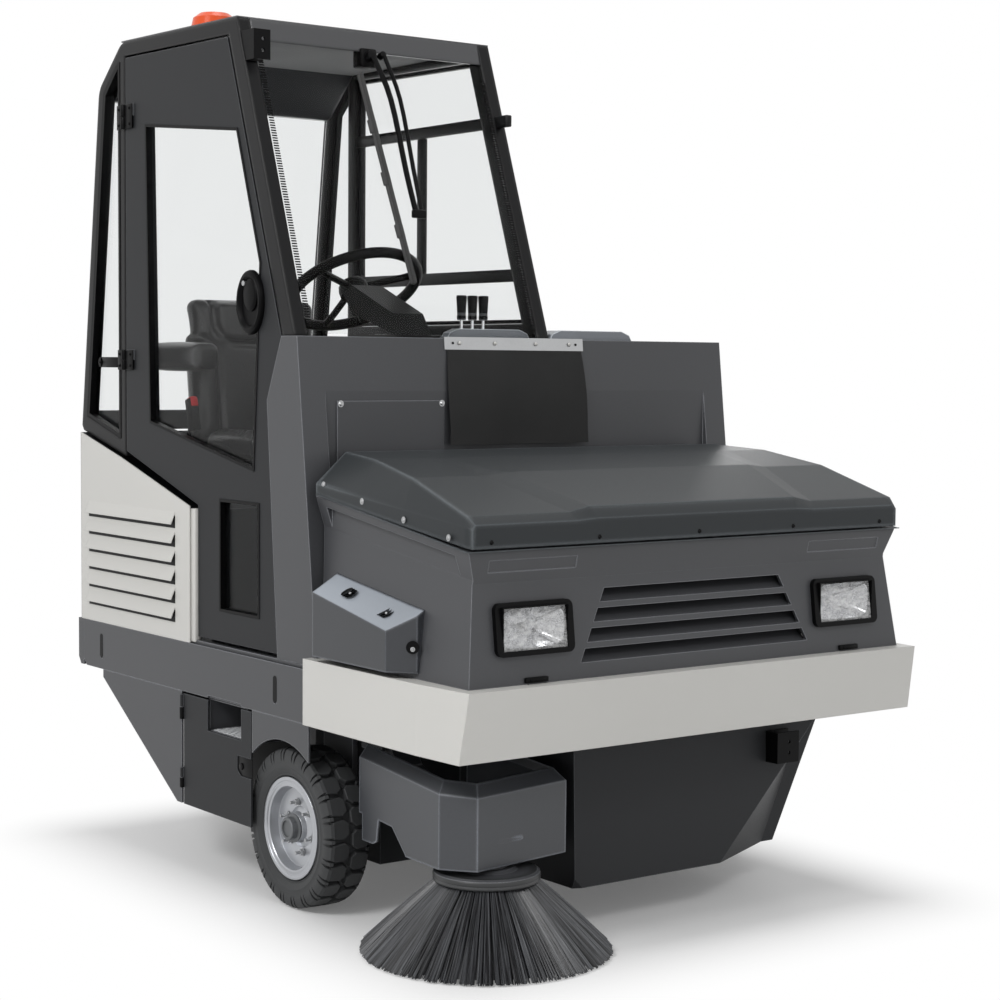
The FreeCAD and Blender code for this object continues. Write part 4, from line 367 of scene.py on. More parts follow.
FRAME_FINISHES = {
    "dark_paint": "brush_arm brush_bracket cab_floor console control_levers deck engine_lid "
                  "fixed_panels front_shell rails step_tray access_cover brush_plate sub_frame "
                  "steer_fork wheel_carriers broom_housing lid_supports rear_cover",
    "door_paint": "cab_door service_door_left service_door_right",
    "hopper_paint": "hopper",
    "box_paint": "side_boxes",
    "hood_paint": "hood",
    "light_paint": "bumper rear_side_panels",
    "frame_black": "cab_side_left cab_side_right",
    "roof_paint": "cab_roof_frame",
    "window": "cab_windows door_windows",
    "lamp_lens": "headlamp_lenses",
    "black_plastic": "accessory_brackets headlamps seat_frame steering_column steering_wheel "
                     "door_handle",
    "amber": "beacon",
    "red_lens": "tail_lamps",
    "cover_metal": "brush_cover",
    "cowl_paint": "console_covers",
    "bare_steel": "flap_strip",
    "rubber": "rubber_flaps",
    "bristle": "side_brush main_broom",
    "seat_cover": "seat_pads",
    "engine_metal": "engine_block",
    "tyre": "tyre_front_left tyre_front_right tyre_rear",
    "wheel_paint": "rim_front_left rim_front_right rim_rear",
}


def finish_frame():
    """Every node that came over from the CAD takes its finish."""
    for finish, nodes in FRAME_FINISHES.items():
        for node in nodes.split():
            materials = bpy.data.objects[node].data.materials
            materials.clear()
            materials.append(FINISHES[finish])


# Stage


def lay_floor():
    """A pale sheet under the machine, which fades to plain white away from its shadow."""
    bm = bmesh.new()
    bmesh.ops.create_grid(bm, x_segments=1, y_segments=1, size=40)
    mesh = bpy.data.meshes.new("floor")
    bm.to_mesh(mesh)
    bm.free()
    floor = bpy.data.objects.new("floor", mesh)
    bpy.context.scene.collection.objects.link(floor)
    paper = Finish("floor_paper", tone(250, 250, 250), 0.95, Specular_IOR_Level=0.1)
    paper.shade(paper.noise(3, 2), 0.006)
    shadow_half, fade = (("X", 0.62), ("Y", 0.86)), 0.36
    east, north = ((paper.place(axis).maths("ABSOLUTE") - half).maths("MAXIMUM", 0.0)
                   for axis, half in shadow_half)
    away = (east * east + north * north).maths("POWER", 0.5)
    # painted light: white glow for rays in sight, plain white far out and mixed partly over the
    # machine's shadow near it
    share = away.between(-0.1, fade, interpolation_type="SMOOTHSTEP") * paper.in_sight()
    white = paper.tree.nodes.new("ShaderNodeEmission")
    blend = paper.tree.nodes.new("ShaderNodeMixShader")
    for start, end in ((share.socket, blend.inputs[0]),
                       (paper.shader.outputs[0], blend.inputs[1]),
                       (white.outputs[0], blend.inputs[2]),
                       (blend.outputs[0], paper.tree.nodes["Material Output"].inputs["Surface"])):
        paper.tree.links.new(start, end)
    floor.data.materials.append(paper.material)


def lamp(name, place, aim, width, power):
    """A soft box in watts that no ray through glass meets, so that panes show no white sheet."""
    data = bpy.data.lights.new(name, "AREA")
    data.shape = "RECTANGLE"
    data.size, data.size_y = width, width * 0.7
    data.energy = power
    item = bpy.data.objects.new(name, data)
    item.location = place
    item.rotation_mode = "QUATERNION"
    item.rotation_quaternion = (Vector(aim) - Vector(place)).to_track_quat("-Z", "Y")
    item.visible_transmission = False
    bpy.context.scene.collection.objects.link(item)


def light_scene():
    """A white room: strong soft light from above and from the right-hand side."""
    world = bpy.data.worlds.new("studio")
    world.use_nodes = True
    room = Nodes(world.node_tree)
    back = room.tree.nodes["Background"].inputs
    room.feed(back["Color"], (1, 1, 1, 1))
    room.feed(back["Strength"], room.node("ShaderNodeMapRange", Value=room.in_sight(), To_Min=0.5,
                                          To_Max=1.0))
    bpy.context.scene.world = world
    lamp("key", (-4.4, -1.2, 3.9), (0, 0, 0.9), 1.8, 112)
    lamp("front", (-0.6, -4.4, 4.2), (0, 0, 0.8), 1.6, 34)
    lamp("top", (0.6, 0.6, 5.2), (0, 0, 0), 2.4, 30)
    lamp("rim", (3.6, 3.8, 2.6), (0, 0, 1.0), 2.0, 30)


# Piece making

TO_ROW = Matrix.Translation(ZERO) @ Matrix.Scale(0.001, 4)
ROUND_OFF = dict(affect="EDGES", profile=0.5, material=-1)


def keep(bm, name, finish, body, replaces=(), sharp=32, clean=True):
    """Turn a mesh drawn in the machine's millimetres into a finished piece on a body."""
    if clean:
        bmesh.ops.recalc_face_normals(bm, faces=bm.faces)
    bm.transform(TO_ROW)
    mesh = bpy.data.meshes.new(name)
    bm.to_mesh(mesh)
    bm.free()
    for face in mesh.polygons:
        face.use_smooth = True
    mesh.set_sharp_from_angle(angle=radians(sharp))
    made = bpy.data.objects.new(name, mesh)
    bpy.context.scene.collection.objects.link(made)
    mesh.materials.append(FINISHES[finish])
    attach(made, body)
    finish in SLOT_NAMES
    for node in replaces:
        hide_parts(node)
    return made


@contextmanager
def piece(name, finish, body="chassis", replaces=(), **looks):
    """A mesh to draw in, which is kept as a piece when its block ends."""
    bm = bmesh.new()
    yield bm
    keep(bm, name, finish, body, replaces, **looks)


def moved(place):
    return Matrix.Translation(Vector(place))


def turned(degrees, axis):
    return Matrix.Rotation(radians(degrees), 4, axis)


def facing(normal):
    """A turn that lays +Z along a direction."""
    return Vector(normal).normalized().to_track_quat("Z", "Y").to_matrix().to_4x4()


def edges_of(verts):
    """The edges at some corners, each once and in a fixed order."""
    return list(dict.fromkeys(e for v in verts for e in v.link_edges))


def drum(bm, place, normal, radius, height, sides=24, top=None, bevel=0.0):
    """A round or tapered post that stands on a place."""
    made = bmesh.ops.create_cone(bm, cap_ends=True, segments=sides, radius1=radius,
                                 radius2=radius if top is None else top, depth=height,
                                 matrix=moved(place) @ facing(normal) @ moved((0, 0, height / 2)))
    if bevel:
        rims = [e for e in edges_of(made["verts"])
                if len(e.link_faces) == 2 and any(len(f.verts) > 4 for f in e.link_faces)]
        bmesh.ops.bevel(bm, geom=rims, offset=bevel, segments=2, **ROUND_OFF)


def brick(bm, low, high, bevel=0.0, matrix=None, segments=2):
    """A box between two corners, with its edges softened."""
    low, high = Vector(low), Vector(high)
    place = moved((low + high) / 2) @ Matrix.Diagonal((*(high - low), 1))
    verts = bmesh.ops.create_cube(bm, size=1, matrix=place)["verts"]
    if bevel:
        verts = bmesh.ops.bevel(bm, geom=edges_of(verts), offset=bevel, segments=segments,
                                **ROUND_OFF)["verts"]
    if matrix is not None:
        bmesh.ops.transform(bm, matrix=matrix, verts=verts)


def side_brick(bm, side, x, y, z, bevel=0.0):
    """A box on one side of the machine, its x given as two distances from the middle plane."""
    near, far = sorted(side * distance for distance in x)
    brick(bm, (near, y[0], z[0]), (far, y[1], z[1]), bevel)


def slab(bm, corners, direction, depth, bevel=0.0):
    """A flat outline pushed out along a direction."""
    verts = [bm.verts.new(c) for c in corners]
    pushed = bmesh.ops.extrude_face_region(bm, geom=[bm.faces.new(verts)])["geom"]
    far = [g for g in pushed if isinstance(g, bmesh.types.BMVert)]
    bmesh.ops.translate(bm, vec=Vector(direction).normalized() * depth, verts=far)
    if bevel:
        bmesh.ops.bevel(bm, geom=edges_of(verts + far), offset=bevel, segments=1, **ROUND_OFF)


def lathe(bm, outline, place, axis, steps=48):
    """Spin an outline of (radius, height along the axis) round an axis through a place."""
    stand = moved(place) @ facing(axis)
    verts = [bm.verts.new(stand @ Vector((r, 0, h))) for r, h in outline]
    edges = [bm.edges.new(pair) for pair in zip(verts, verts[1:])]
    bmesh.ops.spin(bm, geom=verts + edges, cent=Vector(place), axis=Vector(axis).normalized(),
                   dvec=(0, 0, 0), angle=TURN, steps=steps, use_merge=True, use_duplicate=False)
    bmesh.ops.remove_doubles(bm, verts=bm.verts, dist=0.01)


def screw(bm, place, normal, radius=5.5, washer=True):
    """A domed socket screw on its washer."""
    place, normal = Vector(place), Vector(normal).normalized()
    dome = radius * 0.62
    if washer:
        drum(bm, place, normal, radius * 1.45, 1.2, 18)
    drum(bm, place + normal, normal, radius, dome, 18, dome)
    drum(bm, place + normal * (1 + dome), normal, radius * 0.3, 0.35, 6)


def nut(bm, place, normal, across=13, stud=15):
    """A hexagon nut on a washer, with the end of its stud."""
    drum(bm, place, normal, across * 0.72, 1.6, 20)
    drum(bm, place + normal * 1.6, normal, across * 0.577, across * 0.5, 6, bevel=0.7)
    drum(bm, place + normal * across * 0.5, normal, across * 0.3, stud, 12, bevel=0.6)


def bent_bar(bm, points, radius, sides=12, steps=10):
    """A round bar along a bent line, rounded by a Catmull-Rom blend of its points."""
    knots = [Vector(p) for p in points]
    knots = [knots[0] * 2 - knots[1]] + knots + [knots[-1] * 2 - knots[-2]]
    line = []
    for a, b, c, d in zip(knots, knots[1:], knots[2:], knots[3:]):
        for t in (i / steps for i in range(steps)):
            line.append(0.5 * (2 * b + (c - a) * t + (2 * a - 5 * b + 4 * c - d) * t * t
                               + (3 * b - a - 3 * c + d) * t ** 3))
    line.append(knots[-2])
    last = None
    for i, place in enumerate(line):
        ahead = line[min(i + 1, len(line) - 1)] - line[max(i - 1, 0)]
        disc = bmesh.ops.create_circle(bm, cap_ends=i in (0, len(line) - 1), segments=sides,
                                       radius=radius, matrix=moved(place) @ facing(ahead))["verts"]
        if last:
            start = min(range(sides), key=lambda n: (disc[n].co - last[0].co).length)
            disc = disc[start:] + disc[:start]
            join(bm, last, disc)
        last = disc


def around(angle, radius, height=0.0):
    """A place on a circle round an upright axis."""
    return Vector((cos(angle) * radius, sin(angle) * radius, height))


def join(bm, ring, following, closed=True):
    """Faces between two rows of as many points."""
    count = len(ring)
    for k in range(count if closed else count - 1):
        after = (k + 1) % count
        bm.faces.new((ring[k], ring[after], following[after], following[k]))


# Wheels


def spoke(angle):
    """A direction square to the wheels' axles."""
    return Vector((0, sin(angle), cos(angle)))


def dress_tyre(tag, middle, side, body):
    """A solid industrial tyre: ribbed walls, two staggered rows of heavy blocks."""
    base, blocks = 180.0, 22
    pitch = TURN / blocks
    wall = [(108, 44), (122, 44.6), (125, 47), (128, 51), (131, 50), (140, 55), (147, 57),
            (150, 56), (158, 57), (166, 57), (173, 54.5), (178, 50), (base, 42), (base, 20)]
    block_top = [(-24, 17, 192.5), (-13, 3, 192.5), (15, 3, 192.5), (24, 15, 192.5),
                 (20, 47, 191.2), (-21, 47, 191.2)]
    foot_out = [(44, 191.6), (52, 188.4), (57, 180), (58.6, 168), (57.2, 160)]
    foot_in = [(44, 178), (50, 176), (53, 172), (54, 166), (54, 160)]

    def on_tread(angle, across, radius):
        return bm.verts.new(middle + ACROSS * across + spoke(angle) * radius)

    def block(angle, sense):
        """Corners are (along the tread, across it, radius); the top is drawn in a little."""
        count = len(block_top)
        mid_u, mid_v = (sum(corner[i] for corner in block_top) / count for i in (0, 1))
        low, high = [], []
        for u, v, r in block_top:
            low.append(on_tread(angle + u / 185, sense * v, base - 3))
            high.append(on_tread(angle + (mid_u + (u - mid_u) * 0.94) / 192,
                                 sense * (mid_v + (v - mid_v) * 0.94), r))
        top = bm.faces.new(high)
        join(bm, low, high)
        bmesh.ops.bevel(bm, geom=top.edges[:], offset=1.6, segments=1, **ROUND_OFF)

    def shoulder(angle, sense, half_u):
        """The block's foot that runs down over the wall."""
        rings = []
        for (v, r), (vi, ri) in zip(foot_out, foot_in):
            rings.append([on_tread(angle + u / r, sense * across, radius)
                          for u, across, radius in ((-half_u, vi, ri), (-half_u, v, r),
                                                    (half_u, v, r), (half_u, vi, ri))])
        for a, b in zip(rings, rings[1:]):
            join(bm, a, b, closed=False)
        bm.faces.new(rings[0])
        bm.faces.new(rings[-1])

    with piece("tread_" + tag, "tyre", body, ["tyre_" + tag], sharp=28) as bm:
        outline = [(r, -w) for r, w in wall] + [(r, w) for r, w in reversed(wall)]
        lathe(bm, outline + outline[:1], middle, ACROSS, 132)
        for index in range(blocks):
            for sense, offset in ((side, 0), (-side, 0.5)):
                angle = (index + offset) * pitch
                block(angle, sense)
                shoulder(angle - 0.004, sense, 15.5)
                shoulder(angle + pitch / 2, sense, 4.2)


def dress_rim(tag, middle, side, body):
    """Studs and nuts, the hub with its ring nut, and the pressed lips of the rim."""
    out = ACROSS * side
    face = middle + out * 26
    name = "rim_%s_fittings" % tag
    with piece(name + "_studs", "bare_steel", body) as bm:
        for index in range(6):
            nut(bm, face + spoke(TURN * index / 6 + 0.2) * 60 - out * 3, out)
        for index in range(12):
            drum(bm, face + out * 12 + spoke(TURN * index / 12) * 25, out, 2.6, 1.5, 6)
    with piece(name + "_hub", "engine_metal", body) as bm:
        lathe(bm, [(0.01, 12), (33, 12), (34.5, 14), (34.5, 17), (27, 19), (27, 33), (25, 35),
                   (20, 35), (20, 31), (12, 30), (0.01, 30)], face, out, 40)
        for index in range(8):
            angle = TURN * index / 8
            brick(bm, (-4, -2, -2), (4, 2, 2), 0.6,
                  moved(face + out * 26 + spoke(angle) * 26) @ Matrix.Rotation(-angle, 4, "X"))
    with piece(name + "_lip", "wheel_paint", body) as bm:
        lathe(bm, [(99.5, 49), (101, 50.8), (104, 51.2), (107, 50.6), (109, 49.8)], middle, out, 96)
        lathe(bm, [(113, 50), (114, 51.4), (119, 52.4), (122.6, 51.6), (123.4, 49), (122.4, 46)],
              middle, out, 96)


def wheels():
    """Tyres and rims of the front wheels, and the rear wheel's tyre."""
    for side, hand in SIDES:
        tag, middle = "front_" + hand, Vector((side * WHEEL_X, FRONT_AXLE_Y, AXLE_Z))
        dress_tyre(tag, middle, side, "front_wheel_" + hand)
        dress_rim(tag, middle, side, "front_wheel_" + hand)
    dress_tyre("rear", Vector((0, REAR_AXLE_Y, AXLE_Z)), RIGHT, "rear_wheel")


# Brooms


def bristle(bm, root, tip, bow, width, segments):
    """One plastic bristle, bent a little, as a thin three-sided bar."""
    line = tip - root
    across = line.cross(UP)
    if across.length < 1e-6:
        across = ACROSS.copy()
    across.normalize()
    lift = across.cross(line).normalized()
    rings = []
    for i in range(segments + 1):
        t = i / segments
        place = root.lerp(tip, t) + bow * sin(pi * t)
        half = width * (0.5 if t > 0 else 0.42)
        rings.append([bm.verts.new(place + across * half), bm.verts.new(place - across * half),
                      bm.verts.new(place + lift * half * 1.3)])
    for a, b in zip(rings, rings[1:]):
        join(bm, a, b)
    bm.faces.new(rings[-1])


def side_brush():
    """Forty-four bundles of straight bristles under a rubber ring, splayed out to the ground."""
    bundles = 44
    pitch = TURN / bundles
    # each row: radius and height at the plate, reach and height at the tips, bristles a bundle
    rows = ((109, 164, 283, 7, 22), (104, 161, 281, 4, 18), (96, 158, 274, 3.5, 12),
            (84, 156, 258, 3.5, 8))
    chance = random.Random(4)
    with piece("side_brush_bristles", "bristle", "side_brush_head", ["side_brush"], sharp=60,
               clean=False) as bm:
        for foot, top, reach, low, each in rows:
            for index in range(bundles):
                angle = pitch * (index + 0.5)
                long = chance.uniform(-3, 1.5)
                for _ in range(each):
                    share = chance.uniform(-0.43, 0.43)
                    a = angle + share * pitch * 0.92
                    b = angle + (share + chance.uniform(-0.05, 0.05)) * pitch
                    r = foot + chance.uniform(-3, 2)
                    tip_r = reach + long - abs(chance.gauss(0, 2.2)) - 9 * abs(share) ** 2
                    root = BRUSH_MIDDLE + around(a, r, top + chance.uniform(-2, 1))
                    tip = BRUSH_MIDDLE + around(b, tip_r, max(3.2, low + chance.gauss(0, 2)))
                    bow = around(a, chance.uniform(0, 2.5)) + Vector(
                        (chance.uniform(-1, 1), chance.uniform(-1, 1), chance.uniform(0, 3)))
                    bristle(bm, root, tip, bow, chance.uniform(2.3, 3.1), 3)
        lathe(bm, [(70, 150), (98, 152), (262, 10), (250, 8), (70, 140), (70, 150)], BRUSH_MIDDLE,
              UP, bundles * 2)
    with piece("brush_plate_rim", "rubber_edge", "side_brush_head") as bm:
        lathe(bm, [(98, 162), (117, 162), (119.6, 163.6), (120.4, 167), (119.2, 170), (120.4, 173),
                   (120.4, 178), (118.6, 182), (113, 186.4), (98, 186.4)], BRUSH_MIDDLE, UP,
              bundles * 2)


def main_broom():
    """Spiral rows of tufts on the core of the main broom."""
    core, reach = 60, 137.5
    rows, tufts, tuft_pitch, first_x = 8, 40, 20.1, -392
    chance = random.Random(9)
    with piece("main_broom_bristles", "bristle", "broom", ["main_broom"], sharp=60,
               clean=False) as bm:
        for radius, half, sides in ((62, BROOM_HALF, 32), (20, BROOM_HALF + 11.7, 20)):
            drum(bm, BROOM_MIDDLE - ACROSS * half, ACROSS, radius, half * 2, sides)
        for row in range(rows):
            for index in range(tufts):
                x = first_x + index * tuft_pitch
                twist = row * TURN / rows + abs(x) / BROOM_HALF * 0.9
                for _ in range(7):
                    a = twist + chance.gauss(0, 0.05)
                    b = a + chance.gauss(0, 0.03)
                    sway = chance.uniform(-7, 7)
                    root = BROOM_MIDDLE + Vector((x + sway, cos(a) * core, sin(a) * core))
                    long = reach - abs(chance.gauss(0, 1.6))
                    tip = BROOM_MIDDLE + Vector((x + sway * 1.2, cos(b) * long, sin(b) * long))
                    bristle(bm, root, tip, Vector(), 2.6, 1)


# Front


def front_fasteners():
    """Screws of the hood, strip and access cover, and the clips under the front shell."""
    with piece("hood_side_screws", "bare_steel", "hood_leaf") as bm:
        for y, z in ((609, 1023), (446, 994), (279, 963), (109, 936)):
            for side in (RIGHT, LEFT):
                screw(bm, (side * 653, y, z), (side, 0, 0.05), 5.2)
    with piece("hood_screws", "black_plastic", "hood_leaf") as bm:
        for x in (-591, -297, -4, 292, 584):
            screw(bm, (x, 41, 928), AHEAD, 5.2, False)
    strip_face = (0, -1, 0.12)
    with piece("flap_strip_screws", "light_paint") as bm:
        for x in (-202, -94, 34, 141):
            screw(bm, (x, STRIP_Y - 0.1, STRIP_Z), strip_face, 5, False)
    # painted shade: black discs stand for the shade in the strip's two holes
    with piece("flap_strip_hole_shade", "black_plastic") as bm:
        for x in (-222, 163):
            drum(bm, (x, STRIP_Y + 0.1, STRIP_Z), strip_face, 3.2, 0.5, 14)
    with piece("access_cover_screws", "bare_steel") as bm:
        for x in (-555, -264):
            screw(bm, (x, 692.8, 1207), AHEAD, 5.6)
    with piece("shell_clips", "black_plastic") as bm:
        z = 628
        y = 37 + (z - 619) * 27 / 219   # the leaning grille face at the clips' height
        for x in (-LAMP_X, LAMP_X + 6):
            brick(bm, (x - 31, y - 7, z - 6), (x + 31, y + 1, z + 6), 2.5)
            brick(bm, (x - 20, y - 9, z - 3), (x + 20, y - 5, z + 3), 1.5)


def hood_lip():
    """Thin flange along the hood's lower edge."""
    front_z, rear_z, thick, soft = 908, 998, 2.2, 0.6
    with piece("hood_lip_flange", "hood_paint", "hood_leaf") as bm:
        for side in (RIGHT, LEFT):
            slab(bm, [(side * 646.5, 43, front_z), (side * 653.5, 46, front_z),
                      (side * 657.5, 638, rear_z), (side * 648, 638, rear_z)], UP, thick, soft)
        slab(bm, [(x, y, front_z) for x, y in ((-652, 36.5), (652, 36.5), (648, 45), (-648, 45))],
             UP, thick, soft)


def headlamp_insides():
    """A dished reflector with rounded corners and a shielded bulb in each lamp."""
    rings, points = 9, 40
    for side, hand in SIDES:
        with piece("lamp_reflector_" + hand, "reflector", sharp=50, clean=False) as bm:
            dish = []
            for step in range(rings):
                t = step / (rings - 1)
                half_x, half_z, y = 84 * t ** 0.5 + 2, 41 * t ** 0.5 + 2, 94 - 44 * t
                square = 2 * (0.5 - 0.28 * t)     # 1 is an oval, 0 a rectangle
                ring = []
                for k in range(points):
                    c, s = (turn(TURN * (k + 0.5) / points) for turn in (cos, sin))
                    ring.append(bm.verts.new(
                        (side * LAMP_X + half_x * copysign(abs(c) ** square, c), y,
                         LAMP_Z + half_z * copysign(abs(s) ** square, s))))
                dish.append(ring)
            for a, b in zip(dish, dish[1:]):
                join(bm, a, b)
            bm.faces.new(dish[0])
        with piece("lamp_bulb_" + hand, "reflector") as bm:
            x = side * (LAMP_X - 30)
            drum(bm, (x, 92, LAMP_Z), AHEAD, 7, 26, 20, 5, 1)
            lathe(bm, [(0.01, 0), (13, 0), (15, 4), (12, 9), (0.01, 11)], (x, 66, LAMP_Z), AHEAD,
                  24)


def rubber_flaps():
    """The hanging flap in front, a little bulged, and the dust strip behind the broom."""
    across, down = 28, 24
    left, width, top, height = -240, 420, 1338, 233
    with piece("front_flap", "rubber", "chassis", ["rubber_flaps"]) as bm:
        grid = []
        for t in (i / down for i in range(down + 1)):
            z = top - height * t
            wall_y = 622 + (z - 598) * 90 / 768   # the leaning console wall behind the flap
            spread = 4 * sin(pi * min(1, t * 1.2)) + 6 * t
            row = []
            for s in (k / across for k in range(across + 1)):
                belly = (9 * sin(pi * t) * (0.5 + 0.5 * sin(pi * s))
                         + 3 * sin(TURN * s * 1.5) * t)
                row.append(bm.verts.new((left - spread + (width + 2 * spread) * s,
                                         wall_y - 3 - belly, z)))
            grid.append(row)
        for a, b in zip(grid, grid[1:]):
            join(bm, a, b, closed=False)
        bmesh.ops.solidify(bm, geom=bm.faces[:], thickness=5)
    with piece("dust_strip", "rubber") as bm:
        brick(bm, (-412, 1285.3, 10), (412, 1290.3, 120), 1.2)
        for k in range(9):
            screw(bm, (-380 + 95 * k, 1290.3, 104), BACK, 5)


def side_box_screws():
    """Screws on the boxes beside the grille, each on long black marks that paint the shade of its
    deep countersink.
    """
    def seat(dark, place, normal, radius):
        lathe(dark, [(0.01, 0.5), (radius, 0.5), (radius + 1.5, 1.2), (radius, 0.2)], place,
              normal, 24)

    with piece("side_box_screws", "bare_steel") as bm, \
            piece("side_box_seats", "black_plastic") as dark:
        for side in (RIGHT, LEFT):
            normal = Vector((side * 0.5, 0.08, 0.86))
            for y, z in ((322, 754), (470, 784)):
                place = Vector((side * 668, y, z))
                for step in (0, 9, 18):
                    # painted shade: flat black discs in a row stand for the shaded hollow of a long
                    # countersink
                    seat(dark, place + Vector((0, step - 4, step * 0.2)), normal, 14)
                screw(bm, place + normal * 0.9, normal, 4.6)
            front, normal = Vector((side * 664, 226, 690)), Vector((side * 0.6, -0.8, 0))
            # painted shade of the front countersink
            seat(dark, front, normal, 13)
            screw(bm, front + normal - UP * 4, normal, 3.6)


# Cab


def screen_edges():
    """Dotted black printing along both upright edges of the windscreen."""
    marks, pitch = 104, 6.6
    upright = Matrix.Rotation(-atan2(SCREEN_LEAN.y, SCREEN_LEAN.z), 4, "X")
    with piece("windscreen_ladders", "black_plastic") as bm:
        for x in (-616, 49):
            for index in range(marks):
                brick(bm, (-7, -0.4, -1.7), (7, 0.4, 1.7), 0,
                      moved(Vector((x, 734.8, 1392)) + SCREEN_LEAN * (index * pitch)) @ upright)


def wiper():
    """Motor, twin arms and blade in front of the windscreen."""
    with piece("wiper_arms", "black_plastic") as bm:
        brick(bm, (-318, 975, 2044), (-272, 1018, 2092), 5)
        drum(bm, (-296, 978, 2069), (0, -1, 0.3), 13, 22, 20, bevel=2)
        drum(bm, (-262, 978, 2073), (0, -1, 0.3), 9, 20, 16, bevel=2)
        bent_bar(bm, [(-296, 954, 2069), (-276, 905, 1960), (-258, 862, 1780), (-246, 836, 1679)],
                 7, 10, 4)
        bent_bar(bm, [(-262, 956, 2073), (-246, 908, 1962), (-234, 866, 1790), (-228, 838, 1685)],
                 5.5, 10, 4)
        brick(bm, (-256, 826, 1664), (-218, 842, 1684), 3)
    foot, head = Vector((-294, 771, 1498)), Vector((-333, 958, 2022))
    run = head - foot
    half = run.length / 2
    with piece("wiper_blade", "rubber") as bm:
        middle = moved((foot + head) / 2) @ facing(run)
        brick(bm, (-7, -6, -half), (7, 3, half), 1.6, middle)
        brick(bm, (-1.5, 2, -half), (1.5, 10, half), 0, middle)
        for share in (0.25, 0.5, 0.75):
            brick(bm, (-10, -9, -18), (10, 4, 18), 2, moved(foot + run * share) @ facing(run))


def door_hinges():
    """Leaves and barrels: the lower half fixed to the post, the upper half on the door."""
    out, back = -666.5, -663.4
    pin = 7.5
    with piece("post_hinge_leaves", "black_plastic") as fixed, \
            piece("door_hinge_leaves", "black_plastic", "cab_door_leaf") as door:
        for low, high in ((1280, 1333), (1916, 1980)):
            middle = (low + high) / 2
            for bm, near, far, hole in ((door, 1546, 1590, 1560), (fixed, 1604, 1634, 1622)):
                brick(bm, (out, near, low), (back, far, high), 1.2)
                for z in (low + 11, high - 11):
                    screw(bm, (out, hole, z), -ACROSS, 4.2, False)
            drum(door, (-666, HINGE_Y, middle + 1), UP, pin, high - middle - 1, 20, bevel=1)
            drum(fixed, (-666, HINGE_Y, low), UP, pin, middle - low - 1, 20, bevel=1)
        brick(fixed, (-664, 1640, 1286), (-661.4, 1742, 1314), 1)
        lathe(fixed, [(0.01, 0), (14, 0), (14, 2.6), (0.01, 2.6)], (-661.4, 1742, 1300), -ACROSS,
              28)
        screw(fixed, (-664, 1742, 1300), -ACROSS, 5)


def door_handle():
    """The oval dish with its paddle and lock."""
    def oval(bm, outline, y, z, long, tall, steps):
        lathe(bm, outline, (0, 0, 0), -ACROSS, steps)
        bmesh.ops.transform(bm, verts=bm.verts, matrix=moved((CAB_RIGHT, y, z))
                            @ Matrix.Diagonal((1, long, tall, 1)))

    with piece("door_handle_dish", "paddle", "cab_door_leaf", ["door_handle"]) as bm:
        oval(bm, [(0.01, 0.3), (81, 0.3), (81, 6), (78.5, 11), (73, 13.8), (66, 13.6), (61, 10),
                  (57, 4.5), (0.01, 4.5)], 925, 1447, 0.74, 0.963, 64)
    with piece("door_handle_paddle", "paddle", "cab_door_leaf") as bm:
        oval(bm, [(0.01, 12.5), (34, 12.5), (41, 11), (45, 8), (46, 3)], 921, 1466, 0.7, 0.9, 48)
    with piece("door_handle_lock", "bare_steel", "cab_door_leaf") as bm:
        drum(bm, (-664, 946, 1493), -ACROSS, 6.5, 10.5, 18, bevel=1)


def gasket(bm, loop, x, sense, width=10, proud=1):
    """A rubber edging that runs inside a window's outline of (y, z) corners."""
    count = len(loop)
    sunk = 16
    outer = [Vector(p) for p in loop]
    middle = sum(outer, Vector((0, 0))) / count

    def inward(start, end):
        normal = Vector(((end - start).y, -(end - start).x)).normalized()
        return normal if normal.dot(middle - outer[i]) >= 0 else -normal

    inner = []
    for i in range(count):
        first = inward(outer[i - 1], outer[i])
        half = (first + inward(outer[i], outer[(i + 1) % count])).normalized()
        inner.append(outer[i] + half * (width / max(0.3, half.dot(first))))
    for i in range(count):
        k = (i + 1) % count
        slab(bm, [(x - sense * sunk, *p) for p in (outer[i], outer[k], inner[k], inner[i])],
             ACROSS * sense, sunk + proud)


def window_frames():
    """Rubbers of the door's and quarter windows, slider rails on the left, roof lining."""
    with piece("door_window_rubber", "black_plastic", "cab_door_leaf") as bm:
        for loop in ([(1482, 1920), (995, 1870), (882, 1542), (915, 1039), (1459, 1142)],
                     [(890, 964), (890, 683), (1087, 683), (1087, 964)]):
            gasket(bm, loop, CAB_RIGHT, RIGHT, 7, 2)
    with piece("left_window_slider", "frame_black") as bm:
        x = CAB_LEFT - 17.5
        for y, z in (((800, 1600), (1516, 1548)), ((880, 1600), (1916, 1946)),
                     ((1262, 1290), (1548, 1916))):
            brick(bm, (x - 9, y[0], z[0]), (x + 9, y[1], z[1]), 3)
        gasket(bm, [(796, 1408), (1040, 2096), (1598, 2106), (1598, 1408)], CAB_LEFT, LEFT)
    quarter = [(1628, 1096), (1830, 1152), (1721, 2021), (1648, 2084), (1628, 2096)]
    with piece("quarter_window_rubber", "black_plastic") as bm:
        gasket(bm, quarter, CAB_RIGHT, RIGHT)
        gasket(bm, quarter, CAB_LEFT, LEFT)
    with piece("roof_lining", "lining") as bm:
        brick(bm, (-622, 1035, 2118), (54, 1600, 2130), 3)


# Driver's place


def settle(pad):
    """Apply the pad's modifiers."""
    graph = bpy.context.evaluated_depsgraph_get()
    shape = bpy.data.meshes.new_from_object(pad.evaluated_get(graph))
    old = pad.data
    pad.modifiers.clear()
    pad.data = shape
    bpy.data.meshes.remove(old)


